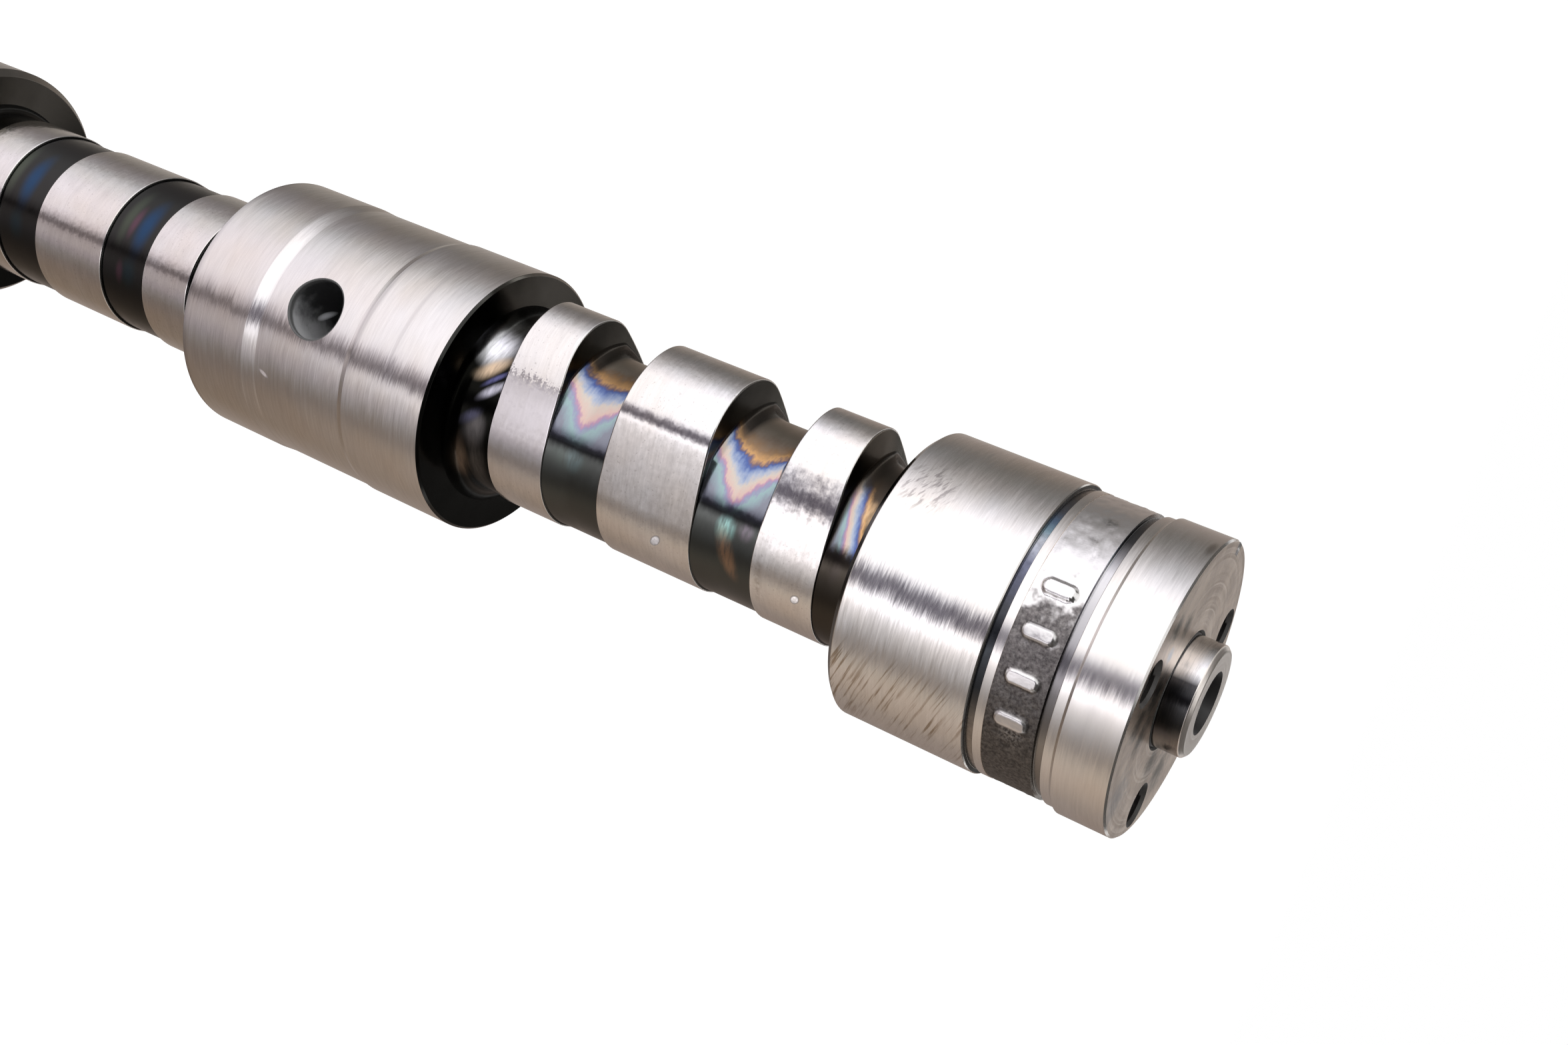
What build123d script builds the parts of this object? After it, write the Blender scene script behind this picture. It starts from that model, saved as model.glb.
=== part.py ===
from build123d import *
import os
from math import acos, cos, radians, sin, tan

os.makedirs("parts", exist_ok=True)

# Camshaft in one piece, ground from a casting. It stands on its rear end on the
# Z axis, with the nose and its pilot at the top. Lengths are in mm.

# Bearings
journal_dia = 40.0
front_journal_len = 19.2
centre_journal_len = 47.5
rear_journal_len = 20.0
edge_chamfer = 0.6

# The centre journal is relieved between its two lands, around the oil hole.
relief_depth = 0.22
rear_land_len = 12.8
rear_cone_len = 2.6
front_cone_len = 0.9
front_land_len = 14.6
oil_hole_dia = 9.0
oil_hole_depth = 13.0
oil_hole_angle = 265.5

# Cam lobes: two narrow ones on either side of a wide one in each bay
core_dia = 0.64 * journal_dia
base_dia = 0.66 * journal_dia
narrow_width = 9.7
wide_width = 15.6
lobe_gap = 9.7
end_gap = 6.8
narrow_lift = 0.155 * journal_dia
wide_lift = 0.16 * journal_dia
narrow_nose_rad = 0.2 * journal_dia
wide_nose_rad = 0.24 * journal_dia
flank_rad = 2.0 * journal_dia
lobe_edge = 0.25
root_chamfer = 1.2

# Directions of the lobe noses, counted from +X towards +Y
narrow_angle = 220.0
wide_angle = 224.0
bay_turn = 120.0

# Nose: grinding neck, as-cast band, groove and the ring that takes the sprocket
neck_len = 1.1
neck_depth = 0.7
strip_len = 1.2
band_len = 6.7
band_depth = 0.55
groove_len = 1.3
groove_depth = 1.2
ledge_len = 1.3
ledge_depth = 0.45
ring_len = 7.6
ring_lip = 0.4

# Pilot that centres the sprocket, with the bore used as a grinding centre
pilot_dia = 15.0
pilot_height = 4.0
pilot_chamfer = 0.5
undercut_width = 0.6
undercut_depth = 0.35
centre_bore_dia = 6.4
centre_mouth_dia = 8.4
centre_bore_depth = 12.0

# Three tapped holes, unevenly spaced so that the sprocket fits one way only
bolt_circle_dia = 32.4
bolt_hole_dia = 5.0
bolt_mouth_dia = 6.2
bolt_hole_depth = 13.0
bolt_start_angle = 19.0
bolt_step_angle = 107.0

# Timing notch in the rim of the nose face
notch_width = 1.8
notch_depth = 1.8
notch_angle = 180.0

# Plain raised pads on the as-cast band
pad_height = 0.45
pad_width = 2.0
pad_length = 4.4
pad_draft = 25.0
pad_count = 4
pad_pitch = 17.0
pad_first_angle = 254.0

drill_point = 118.0
centre_cone = 60.0

journal_rad = journal_dia / 2
core_rad = core_dia / 2
base_rad = base_dia / 2
neck_rad = journal_rad - neck_depth
band_rad = journal_rad - band_depth
groove_rad = journal_rad - groove_depth
ledge_rad = journal_rad - ledge_depth
bay_len = 2 * end_gap + 2 * narrow_width + wide_width + 2 * lobe_gap

# Heights of the main shoulders
rear_bay_z = rear_journal_len
centre_journal_z = rear_bay_z + bay_len
front_bay_z = centre_journal_z + centre_journal_len
front_journal_z = front_bay_z + bay_len
neck_z = front_journal_z + front_journal_len
band_z = neck_z + neck_len + strip_len
groove_z = band_z + band_len
face_z = groove_z + groove_len + ledge_len + ring_len
top_z = face_z + pilot_height


def chamfered(radius, length, chamfer):
    """Steps of a cylinder with both edges broken, as pairs of radius and advance."""
    return [
        (radius - chamfer, 0),
        (radius, chamfer),
        (radius, length - 2 * chamfer),
        (radius - chamfer, chamfer),
    ]


def relieved_journal():
    """Steps of the centre journal, whose middle is ground a little smaller."""
    waist_rad = journal_rad - relief_depth
    cones = rear_cone_len + front_cone_len
    waist_len = centre_journal_len - rear_land_len - front_land_len - cones
    return [
        (journal_rad - edge_chamfer, 0),
        (journal_rad, edge_chamfer),
        (journal_rad, rear_land_len - edge_chamfer),
        (waist_rad, rear_cone_len),
        (waist_rad, waist_len),
        (journal_rad, front_cone_len),
        (journal_rad, front_land_len - edge_chamfer),
        (journal_rad - edge_chamfer, edge_chamfer),
    ]


def pilot_steps():
    """Steps of the pilot, with a fine groove round its foot in the nose face."""
    radius = pilot_dia / 2
    return [
        (radius + undercut_width, 0),
        (radius + undercut_width / 2, -undercut_depth),
        (radius, undercut_depth),
        (radius, pilot_height - pilot_chamfer),
        (radius - pilot_chamfer, pilot_chamfer),
        (0, 0),
    ]


bay = [(core_rad, 0), (core_rad, bay_len)]
steps = (
    chamfered(journal_rad, rear_journal_len, edge_chamfer)
    + bay
    + relieved_journal()
    + bay
    + chamfered(journal_rad, front_journal_len, edge_chamfer)
    + [(neck_rad, 0), (neck_rad, neck_len)]
    + [(ledge_rad, 0), (ledge_rad, strip_len)]
    + [(band_rad, 0), (band_rad, band_len)]
    + [(groove_rad, 0), (groove_rad, groove_len)]
    + [(ledge_rad, 0), (ledge_rad, ledge_len)]
    + [(journal_rad, ring_lip), (journal_rad, ring_len - 2 * ring_lip)]
    + [(journal_rad - ring_lip, ring_lip)]
    + pilot_steps()
)


def drilled(radius, depth, mouth_rad, cone_angle, point_angle):
    """Drilled hole going down from the origin, countersunk, with a conical bottom."""
    cone_len = (mouth_rad - radius) / tan(radians(cone_angle / 2))
    point_len = radius / tan(radians(point_angle / 2))
    with BuildPart() as hole:
        with BuildSketch(Plane.XZ):
            with BuildLine():
                Polyline(
                    (0, 1),
                    (mouth_rad, 1),
                    (mouth_rad, 0),
                    (radius, -cone_len),
                    (radius, -depth),
                    (0, -depth - point_len),
                    close=True,
                )
            make_face()
        revolve(axis=Axis.Z)
    return hole.part


def lobe(width, lift, nose_rad):
    """One cam lobe with its nose along +X: base circle, two flanks and a nose arc."""
    nose_x = base_rad + lift - nose_rad
    to_base = flank_rad - base_rad
    to_nose = flank_rad - nose_rad
    turn = acos((to_base**2 + nose_x**2 - to_nose**2) / (2 * to_base * nose_x))
    # A flank arc touches the base circle and the nose arc from outside, so its
    # centre lies on the far side of the axis.
    flank_x = to_base * cos(turn)
    flank_y = -to_base * sin(turn)
    base_touch = (-base_rad * cos(turn), base_rad * sin(turn))
    nose_touch = (
        nose_x + nose_rad * (nose_x - flank_x) / to_nose,
        -nose_rad * flank_y / to_nose,
    )
    with BuildPart() as body:
        with BuildSketch():
            with BuildLine():
                RadiusArc(base_touch, nose_touch, flank_rad)
                ThreePointArc(nose_touch, (nose_x + nose_rad, 0), (nose_touch[0], -nose_touch[1]))
                RadiusArc((nose_touch[0], -nose_touch[1]), (base_touch[0], -base_touch[1]), flank_rad)
                ThreePointArc((base_touch[0], -base_touch[1]), (-base_rad, 0), base_touch)
            make_face()
        extrude(amount=width)
        chamfer(body.faces().filter_by(Axis.Z).edges(), lobe_edge)
    return body.part


narrow_lobe = lobe(narrow_width, narrow_lift, narrow_nose_rad)
wide_lobe = lobe(wide_width, wide_lift, wide_nose_rad)

with BuildPart() as camshaft:
    # Turned shape, from the rear end face up to the end of the pilot
    with BuildSketch(Plane.XZ):
        with BuildLine():
            outline = [(0, 0)]
            height = 0
            for radius, advance in steps:
                height += advance
                outline.append((radius, height))
            Polyline(*outline, close=True)
        make_face()
        bay_ends = (rear_bay_z, centre_journal_z, front_bay_z, front_journal_z)
        corners = [
            v
            for v in vertices()
            if abs(v.X - core_rad) < 1e-4 and min(abs(v.Y - z) for z in bay_ends) < 1e-4
        ]
        chamfer(corners, root_chamfer)
    revolve(axis=Axis.Z)

    # Lobes, bay by bay from the rear
    for bay_z, turn in ((rear_bay_z, -bay_turn), (front_bay_z, 0)):
        step = narrow_width + lobe_gap
        first_z = bay_z + end_gap
        last_z = first_z + step + wide_width + lobe_gap
        with Locations(
            Location((0, 0, first_z), (0, 0, narrow_angle + turn)),
            Location((0, 0, last_z), (0, 0, narrow_angle + turn)),
        ):
            add(narrow_lobe)
        with Locations(Location((0, 0, first_z + step), (0, 0, wide_angle + turn))):
            add(wide_lobe)

    # Raised pads on the as-cast band, each one a rounded bar along the shaft
    with BuildPart(mode=Mode.PRIVATE) as pad:
        with BuildSketch(Plane.YZ.offset(band_rad - 1)):
            with Locations((0, band_z + band_len / 2)):
                SlotOverall(pad_length, pad_width, rotation=90)
        extrude(amount=1 + pad_height, taper=pad_draft)
    with PolarLocations(0, pad_count, pad_first_angle, pad_pitch * (pad_count - 1), endpoint=True):
        add(pad.part)

    # Tapped holes around the pilot, and the notch in the rim
    bolt_hole = drilled(
        bolt_hole_dia / 2, bolt_hole_depth, bolt_mouth_dia / 2, 90, drill_point
    )
    for index in (-1, 0, 1):
        angle = radians(bolt_start_angle + index * bolt_step_angle)
        x = bolt_circle_dia / 2 * cos(angle)
        y = bolt_circle_dia / 2 * sin(angle)
        with Locations((x, y, face_z)):
            add(bolt_hole, mode=Mode.SUBTRACT)
    with Locations(Location((0, 0, face_z), (0, 0, notch_angle))):
        with Locations((journal_rad, 0, 0)):
            Box(2 * notch_depth, notch_width, 2 * notch_depth, mode=Mode.SUBTRACT)

    # Grinding centres at both ends
    centre_hole = drilled(
        centre_bore_dia / 2, centre_bore_depth, centre_mouth_dia / 2, centre_cone, drill_point
    )
    with Locations((0, 0, top_z), Location((0, 0, 0), (180, 0, 0))):
        add(centre_hole, mode=Mode.SUBTRACT)

    # Oil hole in the relieved part of the centre journal, seen from the front
    waist_z = centre_journal_z + rear_land_len + rear_cone_len
    waist_top_z = centre_journal_z + centre_journal_len - front_land_len - front_cone_len
    oil_z = (waist_z + waist_top_z) / 2
    oil_hole = drilled(
        oil_hole_dia / 2, oil_hole_depth, oil_hole_dia / 2 + 0.01, centre_cone, drill_point
    )
    with Locations(Location((0, 0, oil_z), (0, 0, oil_hole_angle))):
        with Locations(Location((journal_rad, 0, 0), (0, 90, 0))):
            add(oil_hole, mode=Mode.SUBTRACT)

camshaft.part.label = "camshaft"
export_step(camshaft.part, "parts/camshaft.step")
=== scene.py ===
from math import acos, atan2, cos, degrees, pi, radians, sin, sqrt, tan

import bpy
import numpy as np
from mathutils import Matrix, Vector, noise
from mathutils.geometry import delaunay_2d_cdt


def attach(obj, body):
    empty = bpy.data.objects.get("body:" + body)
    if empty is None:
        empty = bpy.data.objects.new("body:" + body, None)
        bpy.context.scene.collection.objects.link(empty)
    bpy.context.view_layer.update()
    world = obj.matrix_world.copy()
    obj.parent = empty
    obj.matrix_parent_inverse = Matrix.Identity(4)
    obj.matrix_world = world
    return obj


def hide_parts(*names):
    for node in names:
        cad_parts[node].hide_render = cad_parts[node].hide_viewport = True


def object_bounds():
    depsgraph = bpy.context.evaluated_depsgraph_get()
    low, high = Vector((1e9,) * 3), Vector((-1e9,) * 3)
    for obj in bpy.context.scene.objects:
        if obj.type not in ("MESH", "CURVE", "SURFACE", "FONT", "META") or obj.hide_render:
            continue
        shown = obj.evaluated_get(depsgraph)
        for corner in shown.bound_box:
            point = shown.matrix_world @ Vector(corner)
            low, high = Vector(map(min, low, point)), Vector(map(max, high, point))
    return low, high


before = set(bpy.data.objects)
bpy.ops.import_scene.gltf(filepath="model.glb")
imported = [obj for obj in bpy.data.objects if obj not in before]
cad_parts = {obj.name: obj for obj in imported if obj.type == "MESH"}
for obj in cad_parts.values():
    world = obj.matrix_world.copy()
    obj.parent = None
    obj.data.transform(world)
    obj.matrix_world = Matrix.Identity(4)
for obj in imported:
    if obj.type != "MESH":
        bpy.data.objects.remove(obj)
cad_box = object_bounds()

MM = 0.001

# Camera, fitted to the photograph: place, the directions of its sides, and lens
CAMERA_AT = (0.0, -0.2195, 0.2830)
CAMERA_RIGHT = (-0.39485, 0.37799, 0.83739)
CAMERA_UP = (-0.91876, -0.16186, -0.36014)
CAMERA_BACK = (-0.00060, -0.91156, 0.41119)
LENS = 40.389
SENSOR = 36.0

# Sizes of the shaft in mm. Its radius and its length come from the frame.
JOURNAL = round(cad_box[1][0] / MM, 3)
TOP = round(cad_box[1][2] / MM, 3)
CORE, BASE, FLANK = 0.64 * JOURNAL, 0.66 * JOURNAL, 4 * JOURNAL
NARROW_LIFT, WIDE_LIFT = 0.31 * JOURNAL, 0.32 * JOURNAL
NARROW_NOSE, WIDE_NOSE = 0.4 * JOURNAL, 0.48 * JOURNAL
NARROW_AT, WIDE_AT, BAY_TURN = 220.0, 224.0, 120.0
LOBE_FOOT, LOBE_EDGE, NOSE_DRAFT = 2.2, 0.28, 1.6
END_GAP, LOBE_GAP, NARROW, WIDE = 6.8, 9.7, 9.7, 15.6
BAY_LEN = 2 * (END_GAP + NARROW + LOBE_GAP) + WIDE
FRONT_LEN, CENTRE_LEN = 19.2, 47.5
NECK_LEN, STRIP_LEN, BAND_LEN, GROOVE_LEN, LEDGE_LEN, RING_LEN = 1.1, 1.2, 6.7, 1.3, 1.3, 7.6
JOURNAL_EDGE, ROUNDING = 0.6, 0.2

# Heights above the rear end, each where its part begins
FACE = TOP - 4.0
RING = FACE - RING_LEN
LEDGE = RING - LEDGE_LEN
GROOVE = LEDGE - GROOVE_LEN
BAND = GROOVE - BAND_LEN
STRIP = BAND - STRIP_LEN
NECK = STRIP - NECK_LEN
FRONT = NECK - FRONT_LEN
FRONT_BAY = FRONT - BAY_LEN
CENTRE = FRONT_BAY - CENTRE_LEN
REAR_BAY = CENTRE - BAY_LEN

# Cams of the front bay, each from its rear side to its front side
FIRST_CAM = (FRONT_BAY + END_GAP, FRONT_BAY + END_GAP + NARROW)
WIDE_CAM = (FIRST_CAM[1] + LOBE_GAP, FIRST_CAM[1] + LOBE_GAP + WIDE)
LAST_CAM = (FRONT - END_GAP - NARROW, FRONT - END_GAP)

# Bands of the nose, and the relieved part of the centre journal with its oil hole
NECK_R, LEDGE_R, BAND_R, GROOVE_R = (JOURNAL - depth for depth in (0.7, 0.45, 0.55, 1.2))
REAR_LAND, REAR_CONE, FRONT_CONE, FRONT_LAND = 12.8, 2.6, 0.9, 14.6
WAIST_R = JOURNAL - 0.22
WAIST_LOW, WAIST_HIGH = CENTRE + REAR_LAND + REAR_CONE, FRONT_BAY - FRONT_LAND - FRONT_CONE
OIL_R, OIL_DEPTH, OIL_AT = 4.5, 13.0, 265.5
OIL_Z = (WAIST_LOW + WAIST_HIGH) / 2

# Pads on the band, the notch, the tapped holes, and the pilot
PAD_AT = [254.0 + 17.0 * k for k in range(4)]
PAD_HEIGHT, PAD_WIDTH, PAD_LEN = 0.45, 2.0, 4.4
PAD_SPREAD, PAD_SLOPE = 0.12, 0.32
NOTCH_AT, NOTCH_WIDTH, NOTCH_DEPTH = 180.0, 1.8, 1.8
BOLT_CIRCLE, BOLT_R, BOLT_MOUTH, BOLT_DEPTH = 16.2, 2.5, 3.1, 13.0
BOLTS_AT = (19.0 - 107.0, 19.0, 19.0 + 107.0)
PILOT_R, PILOT_FOOT = 7.5, 8.1
# Grinding centres at both ends: radius, mouth, depths of the cone, the bore and its tip
BORE_R, BORE_MOUTH, BORE_CONE, BORE_DEPTH, BORE_TIP = 3.2, 4.2, 1.73, 12.0, 13.9
DRILL_POINT = 59.0

# Cards seen in reflections: their level, and the heights at which what the shaft's
# front and its rear mirror lies on them
CARD_LEVEL = 2.4
NEAR_Z, FAR_Z = -0.02, -0.34

# Finishes, by slot of the mesh
GROUND, LOBE, CORE_TINT, WALL, CAST, TURNED, PILOT = range(7)
DARK, BLUED, RIM, OIL_WALL, GROOVE_FLOOR, BORE = range(7, 13)


def angle_grid():
    """Angles of the columns round the shaft: closer at the pads and the notch."""
    step, count = 1.8, 200
    first_fine, last_fine, fine_count = 244.8, 315.0, 95
    notch_edge, least = 0.06, 0.05
    marks = {round(k * step, 3) for k in range(count)}
    marks = {mark for mark in marks if not first_fine < mark < last_fine}
    marks |= {round(float(mark), 3) for mark in np.linspace(first_fine, last_fine, fine_count)}
    half = degrees(NOTCH_WIDTH / 2 / JOURNAL)
    for side in (-1, 1):
        for away in (half, half + notch_edge):
            marks.add(round(NOTCH_AT + side * away, 3))
    kept = []
    for mark in sorted(marks):
        if not kept or mark - kept[-1] > least:
            kept.append(mark)
    return np.radians(np.array(kept))


THETA = angle_grid()
COLS = len(THETA)
UNIT = np.stack([np.cos(THETA), np.sin(THETA)], axis=1)


def fold(degs):
    """Angle between two directions, as -180 to 180."""
    return (np.asarray(degs) + 180.0) % 360.0 - 180.0


def lobe_outline(at, lift, nose):
    """Radius of a cam lobe at each column: base circle, two flank arcs and a nose arc."""
    nose_x = BASE + lift - nose
    to_base, to_nose = FLANK - BASE, FLANK - nose
    turn = acos((to_base**2 + nose_x**2 - to_nose**2) / (2 * to_base * nose_x))
    fx, fy = to_base * cos(turn), -to_base * sin(turn)
    base_angle = atan2(BASE * sin(turn), -BASE * cos(turn))
    nose_angle = atan2(-nose * fy / to_nose, nose_x + nose * (nose_x - fx) / to_nose)
    alpha = np.radians(np.abs(fold(np.degrees(THETA) - at)))
    aside = nose_x * np.sin(alpha)
    on_nose = nose_x * np.cos(alpha) + np.sqrt(np.maximum(nose**2 - aside**2, 0))
    along = fx * np.cos(alpha) + fy * np.sin(alpha)
    on_flank = along + np.sqrt(FLANK**2 - (fx * np.sin(alpha) - fy * np.cos(alpha)) ** 2)
    return np.where(alpha < nose_angle, on_nose, np.where(alpha < base_angle, on_flank, BASE))


class Skin:
    """Collects vertices, faces, their corner normals and their finishes."""

    def __init__(self):
        self.verts = []
        self.faces = []
        self.normals = []
        self.slots = []

    def add(self, points):
        start = len(self.verts)
        self.verts.extend(tuple(float(c) for c in p) for p in points)
        return list(range(start, len(self.verts)))

    def face(self, corners, normals, slot):
        self.faces.append(corners)
        self.normals.extend(tuple(float(c) for c in n) for n in normals)
        self.slots.append(slot)

    def strip(self, low, high, low_n, high_n, slot):
        """Quads between two closed rows of vertices, with a normal for each corner."""
        for j in range(len(low)):
            k = (j + 1) % len(low)
            corners = [low[j], low[k], high[k], high[j]]
            self.face(corners, [low_n[j], low_n[k], high_n[k], high_n[j]], slot)

    def fan(self, row, tip, normal, slot):
        """Triangles between a closed row of vertices and a new one at the tip."""
        end = self.add([tip])[0]
        for j in range(len(row)):
            self.face([row[j], row[(j + 1) % len(row)], end], [normal] * 3, slot)


skin = Skin()


def outline_normals(radius):
    """Directions square to a ring's outline, in the plane of the ring."""
    radius = np.broadcast_to(radius, (COLS,)).astype(float)
    points = UNIT * radius[:, None]
    along = np.roll(points, -1, axis=0) - np.roll(points, 1, axis=0)
    out = np.stack([along[:, 1], -along[:, 0]], axis=1)
    return out / np.linalg.norm(out, axis=1)[:, None]


class Ring:
    """One closed row of vertices round the shaft."""

    def __init__(self, radius, z):
        self.radius = np.broadcast_to(radius, (COLS,)).astype(float)
        self.z = np.broadcast_to(z, (COLS,)).astype(float)
        self.points = np.column_stack([UNIT * self.radius[:, None], self.z])
        self.out = outline_normals(self.radius)
        self.index = skin.add(self.points)

    def tilted(self, out, up):
        """Normals made of so much of the outline's normal and so much of +Z."""
        out = np.broadcast_to(out, (COLS,))[:, None]
        up = np.broadcast_to(up, (COLS,))[:, None]
        made = np.column_stack([self.out * out, np.ones(COLS)[:, None] * up])
        return made / np.linalg.norm(made, axis=1)[:, None]


def profile(corners):
    """Turns a list of (radius, z, rounding, finish after it) into points.

    Each point is (radius, z, normal before it, normal after it, finish after it), and a
    normal is a pair of its parts out and up."""
    spots = np.array([corner[:2] for corner in corners], float)
    runs = np.diff(spots, axis=0)
    runs /= np.linalg.norm(runs, axis=1)[:, None]
    made = []
    for i, (r, z, rounding, slot) in enumerate(corners):
        before = runs[i - 1] if i > 0 else None
        after = runs[i] if i < len(runs) else None
        if before is None or after is None or rounding == 0:
            n_before = None if before is None else (before[1], -before[0])
            n_after = None if after is None else (after[1], -after[0])
            made.append((r, z, n_before, n_after, slot))
            continue
        bend = atan2(before[0] * after[1] - before[1] * after[0], before @ after)
        side = 1 if bend > 0 else -1
        start = spots[i] - before * rounding * tan(abs(bend) / 2)
        centre = start - side * rounding * np.array([before[1], -before[0]])
        steps = 9 if rounding > 2 else 5 if abs(bend) > 1.2 else 3
        for k in range(steps + 1):
            turn = bend * k / steps
            way = (
                before[0] * cos(turn) - before[1] * sin(turn),
                before[0] * sin(turn) + before[1] * cos(turn),
            )
            n = (way[1], -way[0])
            made.append((*(centre + side * rounding * np.array(n)), n, n, slot))
    return made


def turned(corners):
    """Rings along a turned profile. Returns the first and the last ring."""
    rings = [(Ring(r, z), n0, n1, slot) for r, z, n0, n1, slot in profile(corners)]
    for (low, _, n_low, slot), (high, n_high, _, _) in zip(rings, rings[1:]):
        skin.strip(low.index, high.index, low.tilted(*n_low), high.tilted(*n_high), slot)
    return rings[0][0], rings[-1][0]


def join(low, high, slot, low_n, high_n):
    """Quads between two rings, with the normals at the first and at the second."""
    skin.strip(low.index, high.index, low_n, high_n, slot)


def lobe(start, z, width, at, lift, nose):
    """Core from the ring start up to the lobe at height z, then the lobe itself."""
    outline = lobe_outline(at, lift, nose)
    step = outline - CORE
    foot = np.minimum(LOBE_FOOT, 0.55 * step)
    # The rear side leans towards the nose of the cam
    lean = NOSE_DRAFT * (outline - BASE) / lift
    edge = np.minimum(LOBE_EDGE, 0.4 * step)
    rings = []
    # The foot's normals turn late, so that it goes on mirroring what the core mirrors
    foot_turns = [(radians(15 * k), radians(90 * (k / 6) ** 5)) for k in range(7)]
    for phi, tilt in foot_turns:
        ring = Ring(CORE + foot * (1 - cos(phi)), z - foot + foot * sin(phi))
        rings.append((ring, ring.tilted(cos(tilt), -sin(tilt)), CORE_TINT))
    rings[-1] = (*rings[-1][:2], WALL)
    middle = Ring((CORE + foot + outline - edge) / 2, z + lean / 2)
    rings.append((middle, middle.tilted(0, -1), WALL))
    for k in range(4):
        phi = radians(30 * k)
        ring = Ring(outline - edge + edge * sin(phi), z + lean + edge - edge * cos(phi))
        rings.append((ring, ring.tilted(sin(phi), -cos(phi)), LOBE))
    for k in range(3, -1, -1):
        phi = radians(30 * k)
        ring = Ring(outline - edge + edge * sin(phi), z + width - edge + edge * cos(phi))
        rings.append((ring, ring.tilted(sin(phi), cos(phi)), LOBE if k else WALL))
    middle = Ring((CORE + foot + outline - edge) / 2, z + width)
    rings.append((middle, middle.tilted(0, 1), WALL))
    for phi, tilt in reversed(foot_turns):
        ring = Ring(CORE + foot * (1 - cos(phi)), z + width + foot - foot * sin(phi))
        rings.append((ring, ring.tilted(cos(tilt), sin(tilt)), CORE_TINT))
    first = rings[0][0]
    join(start, first, CORE_TINT, start.tilted(1, 0), first.tilted(1, 0))
    for (low, low_n, slot), (high, high_n, _) in zip(rings, rings[1:]):
        join(low, high, slot, low_n, high_n)
    return rings[-1][0]


def bay(start, z, turn):
    """The three lobes of a bay. Returns the last ring on the core."""
    step = NARROW + LOBE_GAP
    first = z + END_GAP
    ring = lobe(start, first, NARROW, NARROW_AT + turn, NARROW_LIFT, NARROW_NOSE)
    ring = lobe(ring, first + step, WIDE, WIDE_AT + turn, WIDE_LIFT, WIDE_NOSE)
    last = first + step + WIDE + LOBE_GAP
    return lobe(ring, last, NARROW, NARROW_AT + turn, NARROW_LIFT, NARROW_NOSE)


def patch(outer, holes, inner_points, place, normal, slot):
    """Triangles between an outer loop and round or free holes in a plane.

    Each loop is a list of (vertex number, 2-D point); place puts a new 2-D point in space
    and normal gives the corner normal at a 2-D point."""
    points, numbers, edges = [], [], []
    for loop in [outer] + holes:
        start = len(points)
        for number, point in loop:
            points.append(Vector(point))
            numbers.append(number)
        edges += [(start + k, start + (k + 1) % len(loop)) for k in range(len(loop))]
    for point in inner_points:
        points.append(Vector(point))
        numbers.append(skin.add([place(point)])[0])
    verts, _, faces, origin, _, _ = delaunay_2d_cdt(points, edges, [], 1, 1e-7)
    hole_rings = [[Vector(p) for _, p in loop] for loop in holes]
    for tri in faces:
        middle = sum((verts[i] for i in tri), Vector((0, 0))) / len(tri)
        if any(inside(middle, ring) for ring in hole_rings):
            continue
        a, b, c = (verts[i] for i in tri[:3])
        if (b - a).cross(c - a) < 0:
            tri = tri[::-1]
        corners = [numbers[origin[i][0]] for i in tri]
        skin.face(corners, [normal(verts[i]) for i in tri], slot)


def inside(point, ring):
    """Whether a 2-D point lies inside a closed ring of points."""
    found = False
    for p, q in zip(ring, ring[1:] + ring[:1]):
        if (p.y > point.y) != (q.y > point.y):
            if point.x < (q.x - p.x) * (point.y - p.y) / (q.y - p.y) + p.x:
                found = not found
    return found


def cast_band(low):
    """The as-cast band with its grain and its raised pads, from the ring low."""
    rows = []
    row_count, rim_width = 25, 0.5
    grain_scale, grain_height = 0.9, 0.075
    wave_scale, wave_height = 0.22, 0.07
    at = np.degrees(THETA)
    for z in np.linspace(BAND, GROOVE, row_count):
        radius = np.empty(COLS)
        rim = min(z - BAND, GROOVE - z)
        for j in range(COLS):
            x, y = UNIT[j] * BAND_R
            spot = Vector((x, y, z))
            grain = noise.fractal(spot * grain_scale, 0.6, 2.0, 4) * grain_height
            wave = noise.noise(spot * wave_scale + Vector((5, 0, 0))) * wave_height
            radius[j] = BAND_R + (grain + wave) * min(1.0, rim / rim_width)
        for centre in PAD_AT:
            across = fold(at - centre) * pi / 180 * BAND_R
            along = np.maximum(np.abs(z - (BAND + GROOVE) / 2) - (PAD_LEN - PAD_WIDTH) / 2, 0)
            gap = PAD_WIDTH / 2 - np.hypot(across, along)
            rise = np.clip((gap + PAD_SPREAD) / PAD_SLOPE, 0, 1)
            rise = rise * rise * (3 - 2 * rise)
            top = BAND_R + PAD_HEIGHT + (radius - BAND_R) * 0.35
            radius = radius * (1 - rise) + top * rise
        rows.append(Ring(radius, z))
    grid = np.stack([row.points for row in rows])
    around = np.roll(grid, -1, axis=1) - np.roll(grid, 1, axis=1)
    upward = np.gradient(grid, axis=0)
    normals = np.cross(around, upward)
    normals /= np.linalg.norm(normals, axis=2)[:, :, None]
    join(low, rows[0], TURNED, low.tilted(1, 0), rows[0].tilted(1, 0))
    for k in range(len(rows) - 1):
        join(rows[k], rows[k + 1], CAST, normals[k], normals[k + 1])
    return rows[-1]


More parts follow.
